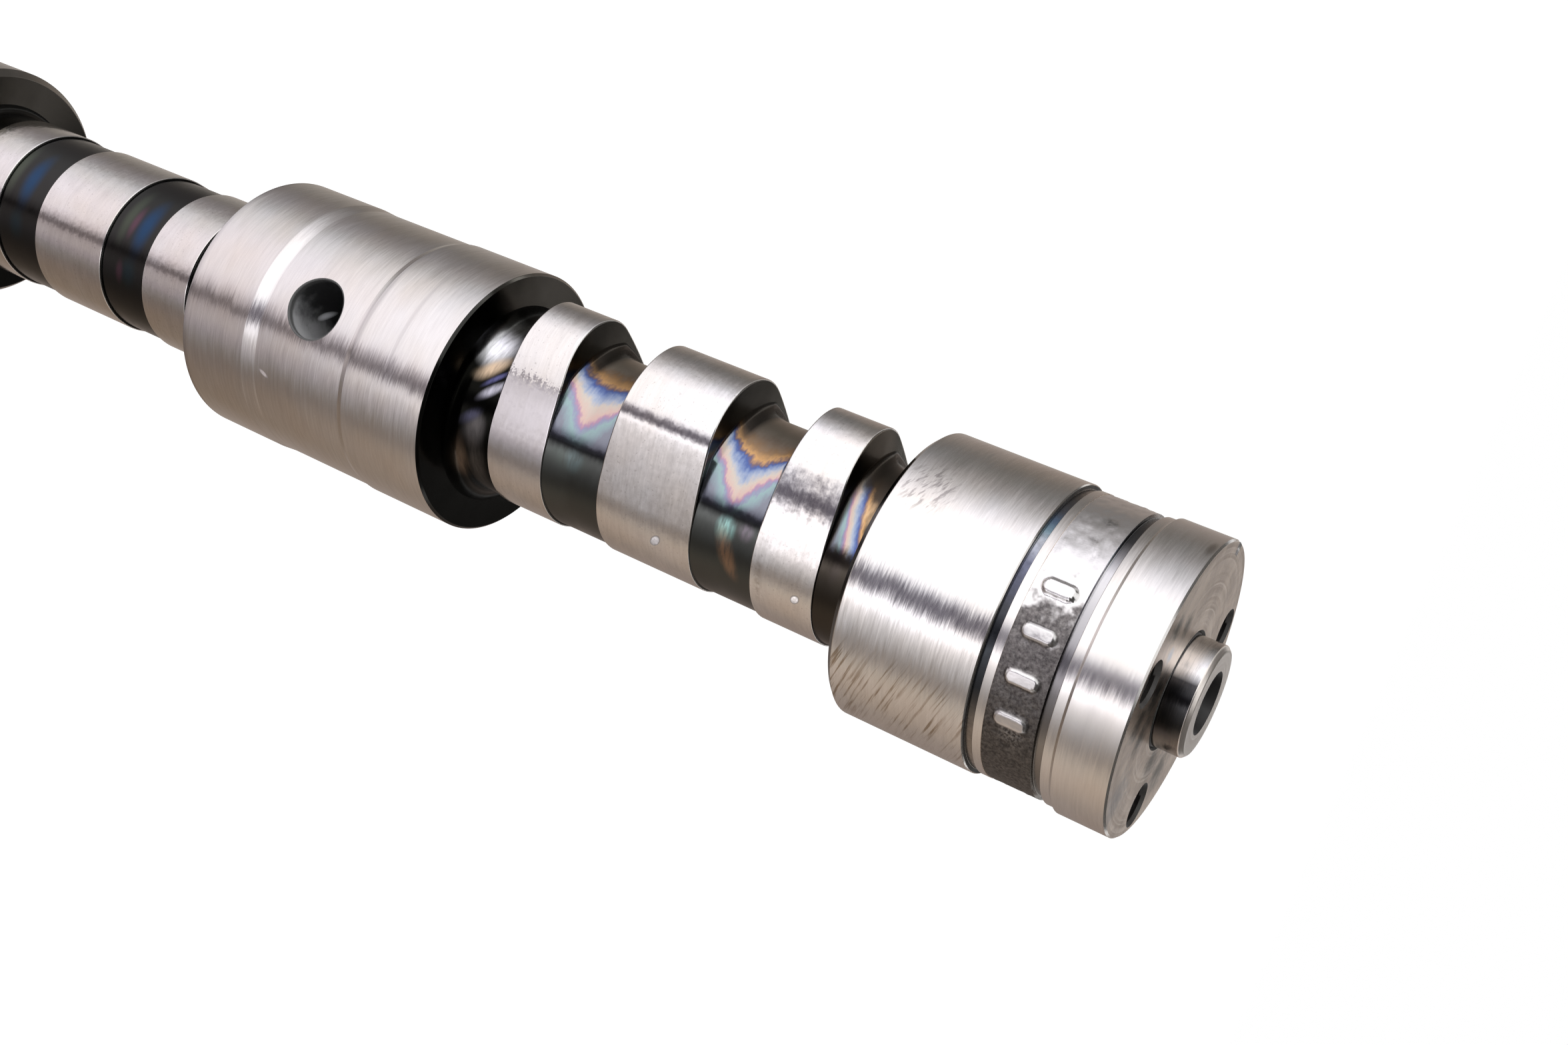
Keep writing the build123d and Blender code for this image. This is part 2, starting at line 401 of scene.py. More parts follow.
def oil_hole():
    """The drilled oil hole with its rounded edge. Returns its mouth, rolled out flat."""
    count, edge = 72, 0.3
    turns = [2 * pi * k / count for k in range(count)]
    spin = Matrix.Rotation(radians(OIL_AT - 270), 3, "Z")
    loops = []
    for phi in np.radians((0.0, 30.0, 60.0, 90.0)):
        radius = OIL_R + edge - edge * sin(phi)
        sink = edge - edge * cos(phi)
        points, normals = [], []
        for t in turns:
            x, z = radius * cos(t), radius * sin(t)
            y = -sqrt(WAIST_R**2 - x * x)
            points.append(spin @ Vector((x, y + sink, OIL_Z + z)))
            out = Vector((x / WAIST_R, y / WAIST_R, 0))
            inward = Vector((-cos(t), 0, -sin(t)))
            n = out * cos(phi) + inward * sin(phi)
            normals.append(spin @ n.normalized())
        loops.append((skin.add(points), normals))
    for (a, na), (b, nb) in zip(loops, loops[1:]):
        skin.strip(a, b, na, nb, OIL_WALL)
    # The wall in two steps, and the conical bottom
    start, end = edge - sqrt(WAIST_R**2 - OIL_R**2), OIL_DEPTH - JOURNAL
    wall, wall_n = loops[-1]
    for y in (start + (end - start) * 0.35, end):
        points = [spin @ Vector((OIL_R * cos(t), y, OIL_Z + OIL_R * sin(t))) for t in turns]
        row = skin.add(points)
        skin.strip(wall, row, wall_n, wall_n, OIL_WALL)
        wall = row
    sunk = end + OIL_R / tan(radians(DRILL_POINT))
    skin.fan(wall, spin @ Vector((0, sunk, OIL_Z)), spin @ Vector((0, -1, 0)), OIL_WALL)
    mouth = OIL_R + edge
    return [
        (number, (WAIST_R * np.arcsin(mouth * cos(t) / WAIST_R), mouth * sin(t)))
        for number, t in zip(loops[0][0], turns)
    ]


def oil_hole_zone(low, high):
    """The relieved part of the centre journal between two rings, with the oil hole."""
    reach, half_window, clearance = 5.5, 18.0, 0.75
    rows = [Ring(WAIST_R, z) for z in np.linspace(OIL_Z - reach, OIL_Z + reach, 12)]
    join(low, rows[0], GROUND, low.tilted(1, 0), rows[0].tilted(1, 0))
    join(rows[-1], high, GROUND, rows[-1].tilted(1, 0), high.tilted(1, 0))
    at = fold(np.degrees(THETA) - OIL_AT)
    window = [j for j in range(COLS) if abs(at[j]) <= half_window]
    window.sort(key=lambda j: at[j])
    outside = [j for j in range(COLS) if j not in window[:-1]]
    for a, b in zip(rows, rows[1:]):
        na, nb = a.tilted(1, 0), b.tilted(1, 0)
        for j in outside:
            k = (j + 1) % COLS
            corners = [a.index[j], a.index[k], b.index[k], b.index[j]]
            skin.face(corners, [na[j], na[k], nb[k], nb[j]], GROUND)

    def flat(j, row):
        return (radians(at[j]) * WAIST_R, row.z[0] - OIL_Z)

    outer = [(rows[0].index[j], flat(j, rows[0])) for j in window]
    outer += [(row.index[window[-1]], flat(window[-1], row)) for row in rows[1:-1]]
    outer += [(rows[-1].index[j], flat(j, rows[-1])) for j in reversed(window)]
    outer += [(row.index[window[0]], flat(window[0], row)) for row in reversed(rows[1:-1])]

    def place(point):
        angle = radians(OIL_AT) + point[0] / WAIST_R
        return (WAIST_R * cos(angle), WAIST_R * sin(angle), OIL_Z + point[1])

    def normal(point):
        angle = radians(OIL_AT) + point[0] / WAIST_R
        return (cos(angle), sin(angle), 0)

    # The rows of the window's inside belong to no ring quad, so they are placed anew
    # where they keep clear of the hole.
    extra = [
        flat(j, row)
        for row in rows[1:-1]
        for j in window[1:-1:2]
        if np.hypot(*flat(j, row)) > OIL_R + clearance
    ]
    patch(outer, [oil_hole()], extra, place, normal, GROUND)


def tapped_hole(at):
    """Countersunk hole with a thread, from the nose face down. Returns its mouth."""
    count = 48
    cx, cy = BOLT_CIRCLE * cos(radians(at)), BOLT_CIRCLE * sin(radians(at))
    turns = [2 * pi * k / count for k in range(count)]

    def loop(radius, z):
        radii = np.broadcast_to(radius, (count,))
        heights = np.broadcast_to(z, (count,))
        return skin.add([
            (cx + r * cos(t), cy + r * sin(t), h) for r, h, t in zip(radii, heights, turns)
        ])

    # The thread is deep where it can be seen and faint further down
    pitch, rows, deep, faint = 1.0, 44, 0.42, 0.05
    neck_r = BOLT_R + 0.15
    neck_z = FACE - (BOLT_MOUTH - neck_r)
    mouth = loop(BOLT_MOUTH, FACE)
    above = [(-cos(t) * 0.7, -sin(t) * 0.7, 0.7) for t in turns]
    previous = loop(neck_r, neck_z)
    skin.strip(mouth, previous, above, above, DARK)
    fall = (BOLT_DEPTH - 1.2) / rows
    phases = np.arange(count) / count
    for k in range(1, rows + 1):
        z = neck_z - k * fall
        turn = (z / pitch + phases) % 1.0
        ridge = np.abs(turn * 2 - 1)
        row = loop(BOLT_R + (deep if z > RING else faint) * ridge, z)
        tilt = np.where(turn > 0.5, 0.75, -0.75)
        n = [(-cos(t) * 0.7, -sin(t) * 0.7, h) for t, h in zip(turns, tilt)]
        skin.strip(previous, row, n, n, DARK)
        previous = row
    skin.fan(previous, (cx, cy, FACE - BOLT_DEPTH - 1.5), (0, 0, 1), DARK)
    return [
        (number, (cx + BOLT_MOUTH * cos(t), cy + BOLT_MOUTH * sin(t)))
        for number, t in zip(mouth, turns)
    ]


def nose_rim(low):
    """The rim of the nose face with its notch, from the ring low. Returns its last ring."""
    across = np.radians(np.abs(fold(np.degrees(THETA) - NOTCH_AT))) * JOURNAL
    cut = across < NOTCH_WIDTH / 2 + 0.01
    foot, floor = FACE - NOTCH_DEPTH, JOURNAL - NOTCH_DEPTH
    step, edge = 0.03, 0.25
    rows = []
    for radius, z in (
        (JOURNAL, foot),
        (JOURNAL, foot + step),
        (JOURNAL, FACE - edge),
        (JOURNAL - edge, FACE),
    ):
        at_notch = cut & (z > foot)
        ring = Ring(np.where(at_notch, floor, radius), z)
        ring.out = UNIT
        rows.append(ring)
    whole = np.where(cut, 0.0, 1.0)
    join(low, rows[0], RIM, low.tilted(1, 0), rows[0].tilted(1, 0))
    join(rows[0], rows[1], RIM, *(row.tilted(whole, 1 - whole) for row in rows[:2]))
    join(rows[1], rows[2], RIM, rows[1].tilted(1, 0), rows[2].tilted(1, 0))
    join(rows[2], rows[3], RIM, rows[2].tilted(1, whole), rows[3].tilted(1, whole))
    return rows[3]


def rear_end():
    """Rear grinding centre, rear face and rear journal. Returns the last ring."""
    bottom, ring = turned([
        (BORE_R, BORE_DEPTH, 0, DARK),
        (BORE_R, BORE_CONE, 0, TURNED),
        (BORE_MOUTH, 0.0, 0, TURNED),
        (JOURNAL - JOURNAL_EDGE, 0.0, ROUNDING, GROUND),
        (JOURNAL, JOURNAL_EDGE, ROUNDING, GROUND),
        (JOURNAL, REAR_BAY - 1.4, ROUNDING, WALL),
        (JOURNAL - 1.0, REAR_BAY, ROUNDING, WALL),
        (CORE, REAR_BAY, 1.4, CORE_TINT),
        (CORE, REAR_BAY + 2.5, 0, CORE_TINT),
    ])
    skin.fan(bottom.index[::-1], (0, 0, BORE_TIP), (0, 0, -1), DARK)
    return ring


def centre_journal(ring):
    """Two lands and the relieved middle with the oil hole. Returns the last ring."""
    first, low = turned([
        (CORE, CENTRE - 2.5, 0, WALL),
        (CORE, CENTRE, 1.4, WALL),
        (JOURNAL - JOURNAL_EDGE, CENTRE, ROUNDING, GROUND),
        (JOURNAL, CENTRE + JOURNAL_EDGE, ROUNDING, GROUND),
        (JOURNAL, CENTRE + REAR_LAND, 0, GROUND),
        (WAIST_R, WAIST_LOW, 0, GROUND),
        (WAIST_R, WAIST_LOW + 0.5, 0, GROUND),
    ])
    join(ring, first, CORE_TINT, ring.tilted(1, 0), first.tilted(1, 0))
    edge = 0.35
    high, last = turned([
        (WAIST_R, WAIST_HIGH - 0.5, 0, GROUND),
        (WAIST_R, WAIST_HIGH, 0, GROUND),
        (JOURNAL, WAIST_HIGH + FRONT_CONE, 0, GROUND),
        (JOURNAL, FRONT_BAY - edge, 0.1, WALL),
        (JOURNAL - edge, FRONT_BAY, 0.1, WALL),
        (CORE, FRONT_BAY, 2.4, CORE_TINT),
        (CORE, FRONT_BAY + 3.0, 0, CORE_TINT),
    ])
    oil_hole_zone(low, high)
    return last


def nose_bands(ring):
    """Front journal, neck, as-cast band, groove, ledge and ring. Returns the last ring."""
    rear_edge, front_edge = 0.8, 0.15
    side = FRONT - 0.5
    first, low = turned([
        (CORE, FRONT - 2.5, 0, WALL),
        (CORE, side, 1.4, WALL),
        (JOURNAL - rear_edge, side, ROUNDING, WALL),
        (JOURNAL, side + rear_edge, ROUNDING, GROUND),
        (JOURNAL, NECK - front_edge, 0, GROUND),
        (JOURNAL - front_edge, NECK, 0, DARK),
        (NECK_R, NECK, 0.05, BLUED),
        (NECK_R, STRIP, 0.08, BLUED),
        (LEDGE_R, STRIP, 0.08, RIM),
        (LEDGE_R, BAND, 0, RIM),
    ])
    join(ring, first, CORE_TINT, ring.tilted(1, 0), first.tilted(1, 0))
    band_end = cast_band(low)
    first, last = turned([
        (BAND_R - 0.02, GROOVE, 0, BLUED),
        (GROOVE_R, GROOVE, 0.15, GROOVE_FLOOR),
        (GROOVE_R, LEDGE, 0.15, GROOVE_FLOOR),
        (LEDGE_R, LEDGE, 0.12, RIM),
        (LEDGE_R, RING, 0.1, RIM),
        (JOURNAL, RING + 0.4, 0.15, RIM),
        (JOURNAL, FACE - NOTCH_DEPTH - 1.0, 0, RIM),
    ])
    join(band_end, first, BLUED, band_end.tilted(0, 1), first.tilted(0, 1))
    return last


def pilot():
    """The pilot and its grinding centre. Returns the ring round its foot."""
    foot, last = turned([
        (PILOT_FOOT, FACE, 0, DARK),
        ((PILOT_FOOT + PILOT_R) / 2, FACE - 0.35, 0, DARK),
        (PILOT_R, FACE, 0, PILOT),
        (PILOT_R, TOP - 0.5, 0.3, TURNED),
        (PILOT_R - 0.5, TOP, 0.3, TURNED),
        (BORE_MOUTH, TOP, 0.1, BORE),
        (BORE_R, TOP - BORE_CONE, 0, BORE),
        (BORE_R, TOP - BORE_DEPTH, 0, BORE),
    ])
    skin.fan(last.index, (0, 0, TOP - BORE_TIP), (0, 0, 1), DARK)
    return foot


def nose_face(rim, foot):
    """The nose face between its rim, the foot of the pilot and the tapped holes."""
    def loop(ring):
        return [(number, point[:2]) for number, point in zip(ring.index, ring.points)]

    holes = [loop(foot)] + [tapped_hole(at) for at in BOLTS_AT]
    patch(loop(rim), holes, [], None, lambda point: (0, 0, 1), TURNED)


def build_shaft():
    """The whole shaft, from the rear grinding centre to the one in the pilot."""
    ring = bay(rear_end(), REAR_BAY, -BAY_TURN)
    ring = bay(centre_journal(ring), FRONT_BAY, 0)
    rim = nose_rim(nose_bands(ring))
    nose_face(rim, pilot())


def put(name, data):
    """A new object in the scene that holds this mesh, lamp or camera."""
    obj = bpy.data.objects.new(name, data)
    bpy.context.scene.collection.objects.link(obj)
    return obj


def skin_object(name):
    """The collected skin as an object in metres, with its own corner normals."""
    used = sorted({i for corners in skin.faces for i in corners})
    renumber = {old: new for new, old in enumerate(used)}
    verts = [tuple(c * MM for c in skin.verts[i]) for i in used]
    faces = [[renumber[i] for i in corners] for corners in skin.faces]
    mesh = bpy.data.meshes.new(name)
    mesh.from_pydata(verts, [], faces)
    mesh.polygons.foreach_set("material_index", skin.slots)
    mesh.polygons.foreach_set("use_smooth", [True] * len(faces))
    mesh.normals_split_custom_set(skin.normals)
    mesh.update()
    return put(name, mesh)


class Graph:
    """The node tree of a material or of the world, written as expressions."""

    def __init__(self, owner):
        self.owner = owner
        owner.use_nodes = True
        self.tree = owner.node_tree
        self.tree.nodes.clear()

    def node(self, kind, inputs=(), **settings):
        """A new node. Each input is a value or an output of another node."""
        made = self.tree.nodes.new(kind)
        for key, value in settings.items():
            setattr(made, key, value)
        for key, value in dict(inputs).items():
            self.feed(made.inputs[key], value)
        return made

    def feed(self, socket, value):
        if isinstance(value, bpy.types.NodeSocket):
            self.tree.links.new(value, socket)
        else:
            socket.default_value = value

    def math(self, operation, *values):
        return self.node("ShaderNodeMath", enumerate(values), operation=operation).outputs[0]

    def plus(self, first, *others):
        for other in others:
            first = self.math("ADD", first, other)
        return first

    def times(self, first, *others):
        for other in others:
            first = self.math("MULTIPLY", first, other)
        return first

    def minus(self, a, b):
        return self.math("SUBTRACT", a, b)

    def length(self, a, b):
        return self.math("POWER", self.plus(self.times(a, a), self.times(b, b)), 0.5)

    def centred(self, value, amount):
        """A noise value turned into one that swings by amount on both sides of zero."""
        return self.times(self.minus(value, 0.5), amount)

    def vector(self, x, y, z):
        return self.node("ShaderNodeCombineXYZ", {0: x, 1: y, 2: z}).outputs[0]

    def parts(self, vector):
        return tuple(self.node("ShaderNodeSeparateXYZ", {0: vector}).outputs)

    def vmath(self, operation, *values):
        made = self.node("ShaderNodeVectorMath", enumerate(values), operation=operation)
        return made.outputs[0]

    def scaled(self, vector, factor):
        made = self.node("ShaderNodeVectorMath", {0: vector, 3: factor}, operation="SCALE")
        return made.outputs[0]

    def noise(self, vector, detail=2.0, rough=0.5):
        inputs = {"Vector": vector, "Scale": 1.0, "Detail": detail, "Roughness": rough}
        return self.node("ShaderNodeTexNoise", inputs).outputs[0]

    def mottle(self, per_mm, detail=3.0, rough=0.6):
        """Noise with the same grain in all directions, so many turns per mm."""
        return self.noise(self.scaled(self.at, per_mm), detail, rough)

    def span(self, value, low, high, to_low=0.0, to_high=1.0, smooth=False):
        """Maps low to high onto to_low to to_high, and stays there outside them."""
        kind = "SMOOTHSTEP" if smooth else "LINEAR"
        inputs = {0: value, 1: low, 2: high, 3: to_low, 4: to_high}
        return self.node("ShaderNodeMapRange", inputs, interpolation_type=kind).outputs[0]

    def ramp(self, value, stops):
        """A colour that follows a value from 0 to 1, by stops of place and colour."""
        made = self.node("ShaderNodeValToRGB", {0: value})
        elements = made.color_ramp.elements
        while len(elements) > 1:
            elements.remove(elements[-1])
        elements[0].position = stops[0][0]
        elements[0].color = (*stops[0][1], 1)
        for position, color in stops[1:]:
            elements.new(position).color = (*color, 1)
        return made.outputs[0]

    def mix(self, factor, a, b, blend="MIX"):
        made = self.node("ShaderNodeMix", {0: factor}, data_type="RGBA", blend_type=blend)
        for socket, value in ((made.inputs[6], a), (made.inputs[7], b)):
            self.feed(socket, value if isinstance(value, bpy.types.NodeSocket) else (*value, 1))
        return made.outputs[2]

    def place(self):
        """Sets x, y, z in mm, the angle from the camera's side and unit directions."""
        self.at = self.scaled(self.node("ShaderNodeTexCoord").outputs["Object"], 1 / MM)
        self.x, self.y, self.z = self.parts(self.at)
        turn = self.math("ARCTAN2", self.y, self.x)
        back = self.math("MULTIPLY_ADD", turn, -180 / pi, -90.0)
        self.angle = self.math("WRAP", back, 180.0, -180.0)
        # How far a point lies round the far side, where the looks of top and bottom meet
        self.behind = self.span(self.angle, 95.0, 150.0, smooth=True)
        self.radius = self.length(self.x, self.y)
        self.ux = self.math("DIVIDE", self.x, self.radius)
        self.uy = self.math("DIVIDE", self.y, self.radius)

    def on_cam(self, cam):
        """1 over the height of a cam, 0 elsewhere."""
        low = self.math("GREATER_THAN", self.z, cam[0] - 0.3)
        return self.times(low, self.math("LESS_THAN", self.z, cam[1] + 0.3))

    def round_noise(self, around, along, detail=2.0, rough=0.5, shift=0.0):
        """Noise whose grain runs round the shaft: so many turns per radian, so many per mm."""
        vector = self.vector(
            self.times(self.ux, around),
            self.times(self.uy, around),
            self.math("MULTIPLY_ADD", self.z, along, shift),
        )
        return self.noise(vector, detail, rough)

    def spot(self, angle, z, high, long, soft, lean=0.0):
        """1 in the middle of an ellipse on the shaft's side and 0 outside it.

        It lies round an angle and a height; high counts round the shaft and long along
        it, in mm, and soft is the part of it over which it fades."""
        turn = self.math("WRAP", self.minus(self.angle, angle), 180.0, -180.0)
        across = self.times(turn, pi / 180, self.radius)
        along = self.minus(self.z, z)
        c, s = cos(radians(lean)), sin(radians(lean))
        u = self.plus(self.times(across, c / high), self.times(along, s / high))
        v = self.minus(self.times(along, c / long), self.times(across, s / long))
        return self.span(self.length(u, v), 1.0, 1.0 - soft, smooth=True)

    def shown(self):
        """1 for rays from the camera and from glossy or clear surfaces, 0 for others."""
        path = self.node("ShaderNodeLightPath").outputs
        seen = self.math("MAXIMUM", path["Is Camera Ray"], path["Is Glossy Ray"])
        return self.math("MAXIMUM", seen, path["Is Transmission Ray"])

    def end(self, kind, shader):
        """Links a shader to a new output node. Returns what the tree belongs to."""
        self.tree.links.new(shader.outputs[0], self.node(kind).inputs[0])
        return self.owner

    def distance(self, x, y, z):
        """How far a point of the surface lies from this one, in mm."""
        ends = {0: self.at, 1: (x, y, z)}
        return self.node("ShaderNodeVectorMath", ends, operation="DISTANCE").outputs["Value"]

    def leaning(self, around, along):
        """The surface normal, leaned by so much round the shaft and along it."""
        normal = self.node("ShaderNodeNewGeometry").outputs["Normal"]
        side = self.vmath("NORMALIZE", self.vmath("CROSS_PRODUCT", (0, 0, 1), normal))
        lean = self.vmath("ADD", self.scaled(side, around), self.scaled((0, 0, 1), along))
        return self.vmath("NORMALIZE", self.vmath("ADD", normal, lean))

    def finish(self, color, rough, normal=None, metallic=1.0, aniso=0.0):
        """The material itself; aniso stretches what a surface ground round Z mirrors."""
        inputs = {"Base Color": color, "Roughness": rough, "Metallic": metallic}
        if aniso:
            tangent = self.node("ShaderNodeTangent", direction_type="RADIAL", axis="Z")
            inputs |= {"Anisotropic": aniso, "Tangent": tangent.outputs[0]}
        if normal is not None:
            inputs["Normal"] = normal
        shader = self.node("ShaderNodeBsdfPrincipled", inputs)
        return self.end("ShaderNodeOutputMaterial", shader)


def surface(name):
    """The graph of a new material on the shaft."""
    g = Graph(bpy.data.materials.new(name))
    g.place()
    return g


def ground_finish(name, color, rough, fine=2.6):
    """Ground steel with fine lines round the shaft: its graph, lines, colour and gloss."""
    g = surface(name)
    line = g.round_noise(4.0, fine, detail=3.0, rough=0.65)
    tint = g.round_noise(1.6, 0.12, shift=77.0)
    warmer = tuple(c * k for c, k in zip(color, (0.97, 0.93, 0.88)))
    base = g.mix(g.span(tint, 0.35, 0.7), color, warmer)
    shade = g.span(line, 0.3, 0.7, 0.93, 1.05)
    shades = g.node("ShaderNodeCombineColor", {0: shade, 1: shade, 2: shade}).outputs[0]
    base = g.mix(1.0, base, shades, "MULTIPLY")
    gloss = g.math("MULTIPLY_ADD", g.centred(line, 1.0), 0.10, rough)
    return g, line, base, gloss


def broad_waves(g, amount):
    """How far broad, faint waves in the grinding lean a surface round the shaft."""
    return g.centred(g.round_noise(2.5, 0.45, shift=40.0), amount)


def fine_waves(g, per_mm):
    """How far fine grinding lines lean a surface along the shaft."""
    return g.centred(g.round_noise(2.0, per_mm, shift=9.0), 0.05)


def ring_finish():
    """The ring behind the nose face, with a dark patch near its rim."""
    g, line, base, gloss = ground_finish("ground_ring", (0.82, 0.805, 0.79), 0.20, fine=3.4)
    dark_patch = g.times(g.spot(58.0, 241.0, 2.6, 0.7, 0.8), 0.6)
    base = g.mix(dark_patch, base, (0.26, 0.22, 0.18))
    around = g.plus(g.centred(line, 0.08), broad_waves(g, 0.05))
    return g.finish(base, gloss, g.leaning(around, fine_waves(g, 5.78)), aniso=0.35)


def journal_finish():
    """Ground journals: handling scratches, and bands where the grinding differs."""
    g, _, base, gloss = ground_finish("ground_journal", (0.82, 0.805, 0.79), 0.17)
    line = g.round_noise(5.0, 4.2, detail=3.0, rough=0.7)
    around = g.plus(g.centred(line, 0.17), broad_waves(g, 0.06))
    along = fine_waves(g, 4.4)
    # Long slanting scratches on the underside of the front journal
    way = radians(22)
    curve = g.times(g.angle, JOURNAL * pi / 180)
    run = g.plus(g.times(curve, cos(way)), g.times(g.z, sin(way)))
    cross = g.minus(g.times(g.z, cos(way)), g.times(curve, sin(way)))
    stroke = g.noise(g.vector(g.times(run, 0.10), g.times(cross, 2.3), 3.0), 3.0, 0.6)
    front = g.math("GREATER_THAN", g.z, FRONT)
    where = g.times(g.span(g.angle, -82.0, -62.0), g.span(g.angle, -29.0, -37.0), front)
    faint = g.span(g.round_noise(3.0, 0.25, shift=21.0), 0.35, 0.6, 0.25, 0.8)
    marks = g.times(g.span(stroke, 0.51, 0.62), where, faint)
    base = g.mix(marks, base, (0.28, 0.20, 0.12))
    shine = g.times(g.span(stroke, 0.40, 0.30), where, 0.4)
    base = g.mix(shine, base, (0.95, 0.93, 0.92))
    # Short flecks above the middle of the front journal, by its rear edge
    fleck = g.noise(g.vector(g.times(run, 0.45), g.times(cross, 1.6), 8.0), 2.0, 0.6)
    spot = g.times(g.spot(33.0, 207.5, 5.0, 5.0, 0.6), g.span(fleck, 0.50, 0.62), 0.8)
    base = g.mix(spot, base, (0.36, 0.33, 0.32))
    # Two dull lines on the front part of the centre journal
    for z, half, strength in ((127.7, 0.5, 0.30), (121.0, 0.8, 0.55)):
        band = g.times(g.spot(15.0, z, 16.0, half, 0.7), strength)
        base = g.mix(band, base, (0.42, 0.40, 0.40))
    # The cone before its relieved part is bright above and hardly shows below
    cone = g.times(
        g.span(g.z, WAIST_LOW - 2.7, WAIST_LOW - 2.2),
        g.span(g.z, WAIST_LOW, WAIST_LOW - 0.6),
        g.span(g.angle, -36.0, -6.0, -0.075, 0.10),
    )
    along = g.plus(along, cone)
    # A nick in the relieved part. The edge by the rear bay and the rear journal are painted darker:
    # painted shade.
    nick = g.spot(-31.0, 105.3, 0.45, 1.2, 0.8, lean=25.0)
    around = g.minus(around, g.times(nick, 0.35))
    rear_painted_shade = g.span(g.z, CENTRE + 1.5, CENTRE + 0.6)
    base = g.mix(g.times(rear_painted_shade, 0.5), base, (0.36, 0.34, 0.35))
    return g.finish(base, gloss, g.leaning(around, along), aniso=0.35)


def temper(g, phase):
    """Temper colours, from blue at 1 through straw and rose to bluish grey at 0."""
    return g.ramp(g.span(phase, -1.0, 2.0), [
        (0.00, (0.22, 0.23, 0.27)),
        (0.12, (0.25, 0.31, 0.34)),
        (0.22, (0.27, 0.38, 0.38)),
        (0.29, (0.27, 0.27, 0.38)),
        (0.34, (0.40, 0.25, 0.34)),
        (0.39, (0.56, 0.41, 0.36)),
        (0.47, (0.52, 0.46, 0.40)),
        (0.54, (0.36, 0.40, 0.48)),
        (0.61, (0.20, 0.26, 0.42)),
        (0.665, (0.08, 0.12, 0.30)),
        (0.70, (0.18, 0.13, 0.15)),
        (0.76, (0.58, 0.34, 0.15)),
        (0.84, (0.36, 0.23, 0.13)),
        (1.00, (0.34, 0.27, 0.21)),
    ])


def temper_lines(g):
    """Angles of the blue and of the rose line, which bend within each gap."""
    # Each gap: its end, the height of the bend, the angles of the blue line and of the
    # rose line there, and how fast they rise on both sides in degrees per mm
    gaps = (
        (142.4, 137.0, 44.0, 30.0, -5.0, -8.0),
        (161.9, 156.3, 33.0, 4.0, 1.2, 4.6),
        (187.2, 181.8, 21.0, -3.0, 3.4, 5.6),
        (204.0, 200.9, -8.0, -42.0, 15.0, 18.0),
    )
    blue = rose = None
    for end, bend, blue_at, rose_at, blue_rise, rose_rise in reversed(gaps):
        off = g.math("ABSOLUTE", g.minus(g.z, bend))
        blue_here = g.math("MULTIPLY_ADD", off, blue_rise, blue_at)
        rose_here = g.math("MULTIPLY_ADD", off, rose_rise, rose_at)
        if blue is None:
            blue, rose = blue_here, rose_here
            continue
        past = g.math("GREATER_THAN", g.z, end)
        blue = g.plus(blue_here, g.times(past, g.minus(blue, blue_here)))
        rose = g.plus(rose_here, g.times(past, g.minus(rose, rose_here)))
    return blue, rose


def blots(g, color, rows, uneven, soft):
    """Soft ellipses of other tones over a colour.

    Each has its angle, height, sizes round and along the shaft, lean, strength and tone."""
    for angle, z, high, long, lean, strength, tone in rows:
        there = g.times(g.spot(angle, z, high, long, soft, lean), uneven, strength)
        color = g.mix(there, color, tone)
    return color


def slate_below(g, fine):
    """The core's underside: slate with a greenish and a rusty patch and smaller ones."""
    slate = g.mix(g.span(g.angle, -70.0, -40.0), (0.095, 0.094, 0.085), (0.078, 0.083, 0.078))
    return blots(g, slate, (
        (-18.0, 156.0, 2.4, 4.6, 0.0, 0.5, (0.115, 0.14, 0.125)),
        (-17.0, 156.8, 2.4, 2.0, 0.0, 0.5, (0.16, 0.22, 0.23)),
        (-18.0, 182.1, 2.6, 1.9, 0.0, 1.0, (0.28, 0.48, 0.44)),
        (-33.0, 182.9, 5.0, 1.7, -22.0, 0.85, (0.36, 0.23, 0.15)),
        (-15.0, 185.2, 1.8, 1.5, 0.0, 0.7, (0.21, 0.18, 0.21)),
        (-16.0, 198.8, 2.2, 1.2, 0.0, 0.6, (0.17, 0.15, 0.18)),
    ), g.span(fine, 0.28, 0.55, 0.3, 1.0), 0.8)


def painted_core_by_centre(g, fine):
    """By the centre journal the core is painted black for the shade and the dark it mirrors there,
    with painted grey glows and a bright painted highlight that has a straw temper patch under it.
    """
    return blots(g, (0.006, 0.006, 0.005), (
        (-45.0, 139.8, 8.0, 2.2, 0.0, 0.8, (0.085, 0.08, 0.078)),
        (-26.0, 139.3, 3.6, 2.4, 20.0, 0.9, (0.15, 0.14, 0.138)),
        (50.0, 137.2, 4.0, 2.6, 0.0, 0.6, (0.20, 0.20, 0.19)),
        (32.0, 137.4, 4.6, 3.7, 0.0, 1.0, (0.90, 0.90, 0.93)),
        (17.0, 138.8, 3.8, 1.6, 40.0, 0.95, (0.56, 0.42, 0.29)),
        (3.0, 140.4, 3.4, 1.0, 46.0, 0.95, (0.46, 0.45, 0.52)),
        (11.0, 140.1, 3.0, 0.6, 44.0, 0.85, (0.10, 0.10, 0.22)),
        (-17.0, 138.4, 2.8, 1.2, 48.0, 0.9, (0.055, 0.055, 0.085)),
        (-50.0, 137.0, 5.5, 1.6, 0.0, 0.8, (0.17, 0.13, 0.10)),
    ), g.span(fine, 0.3, 0.6, 0.65, 1.0), 0.9)


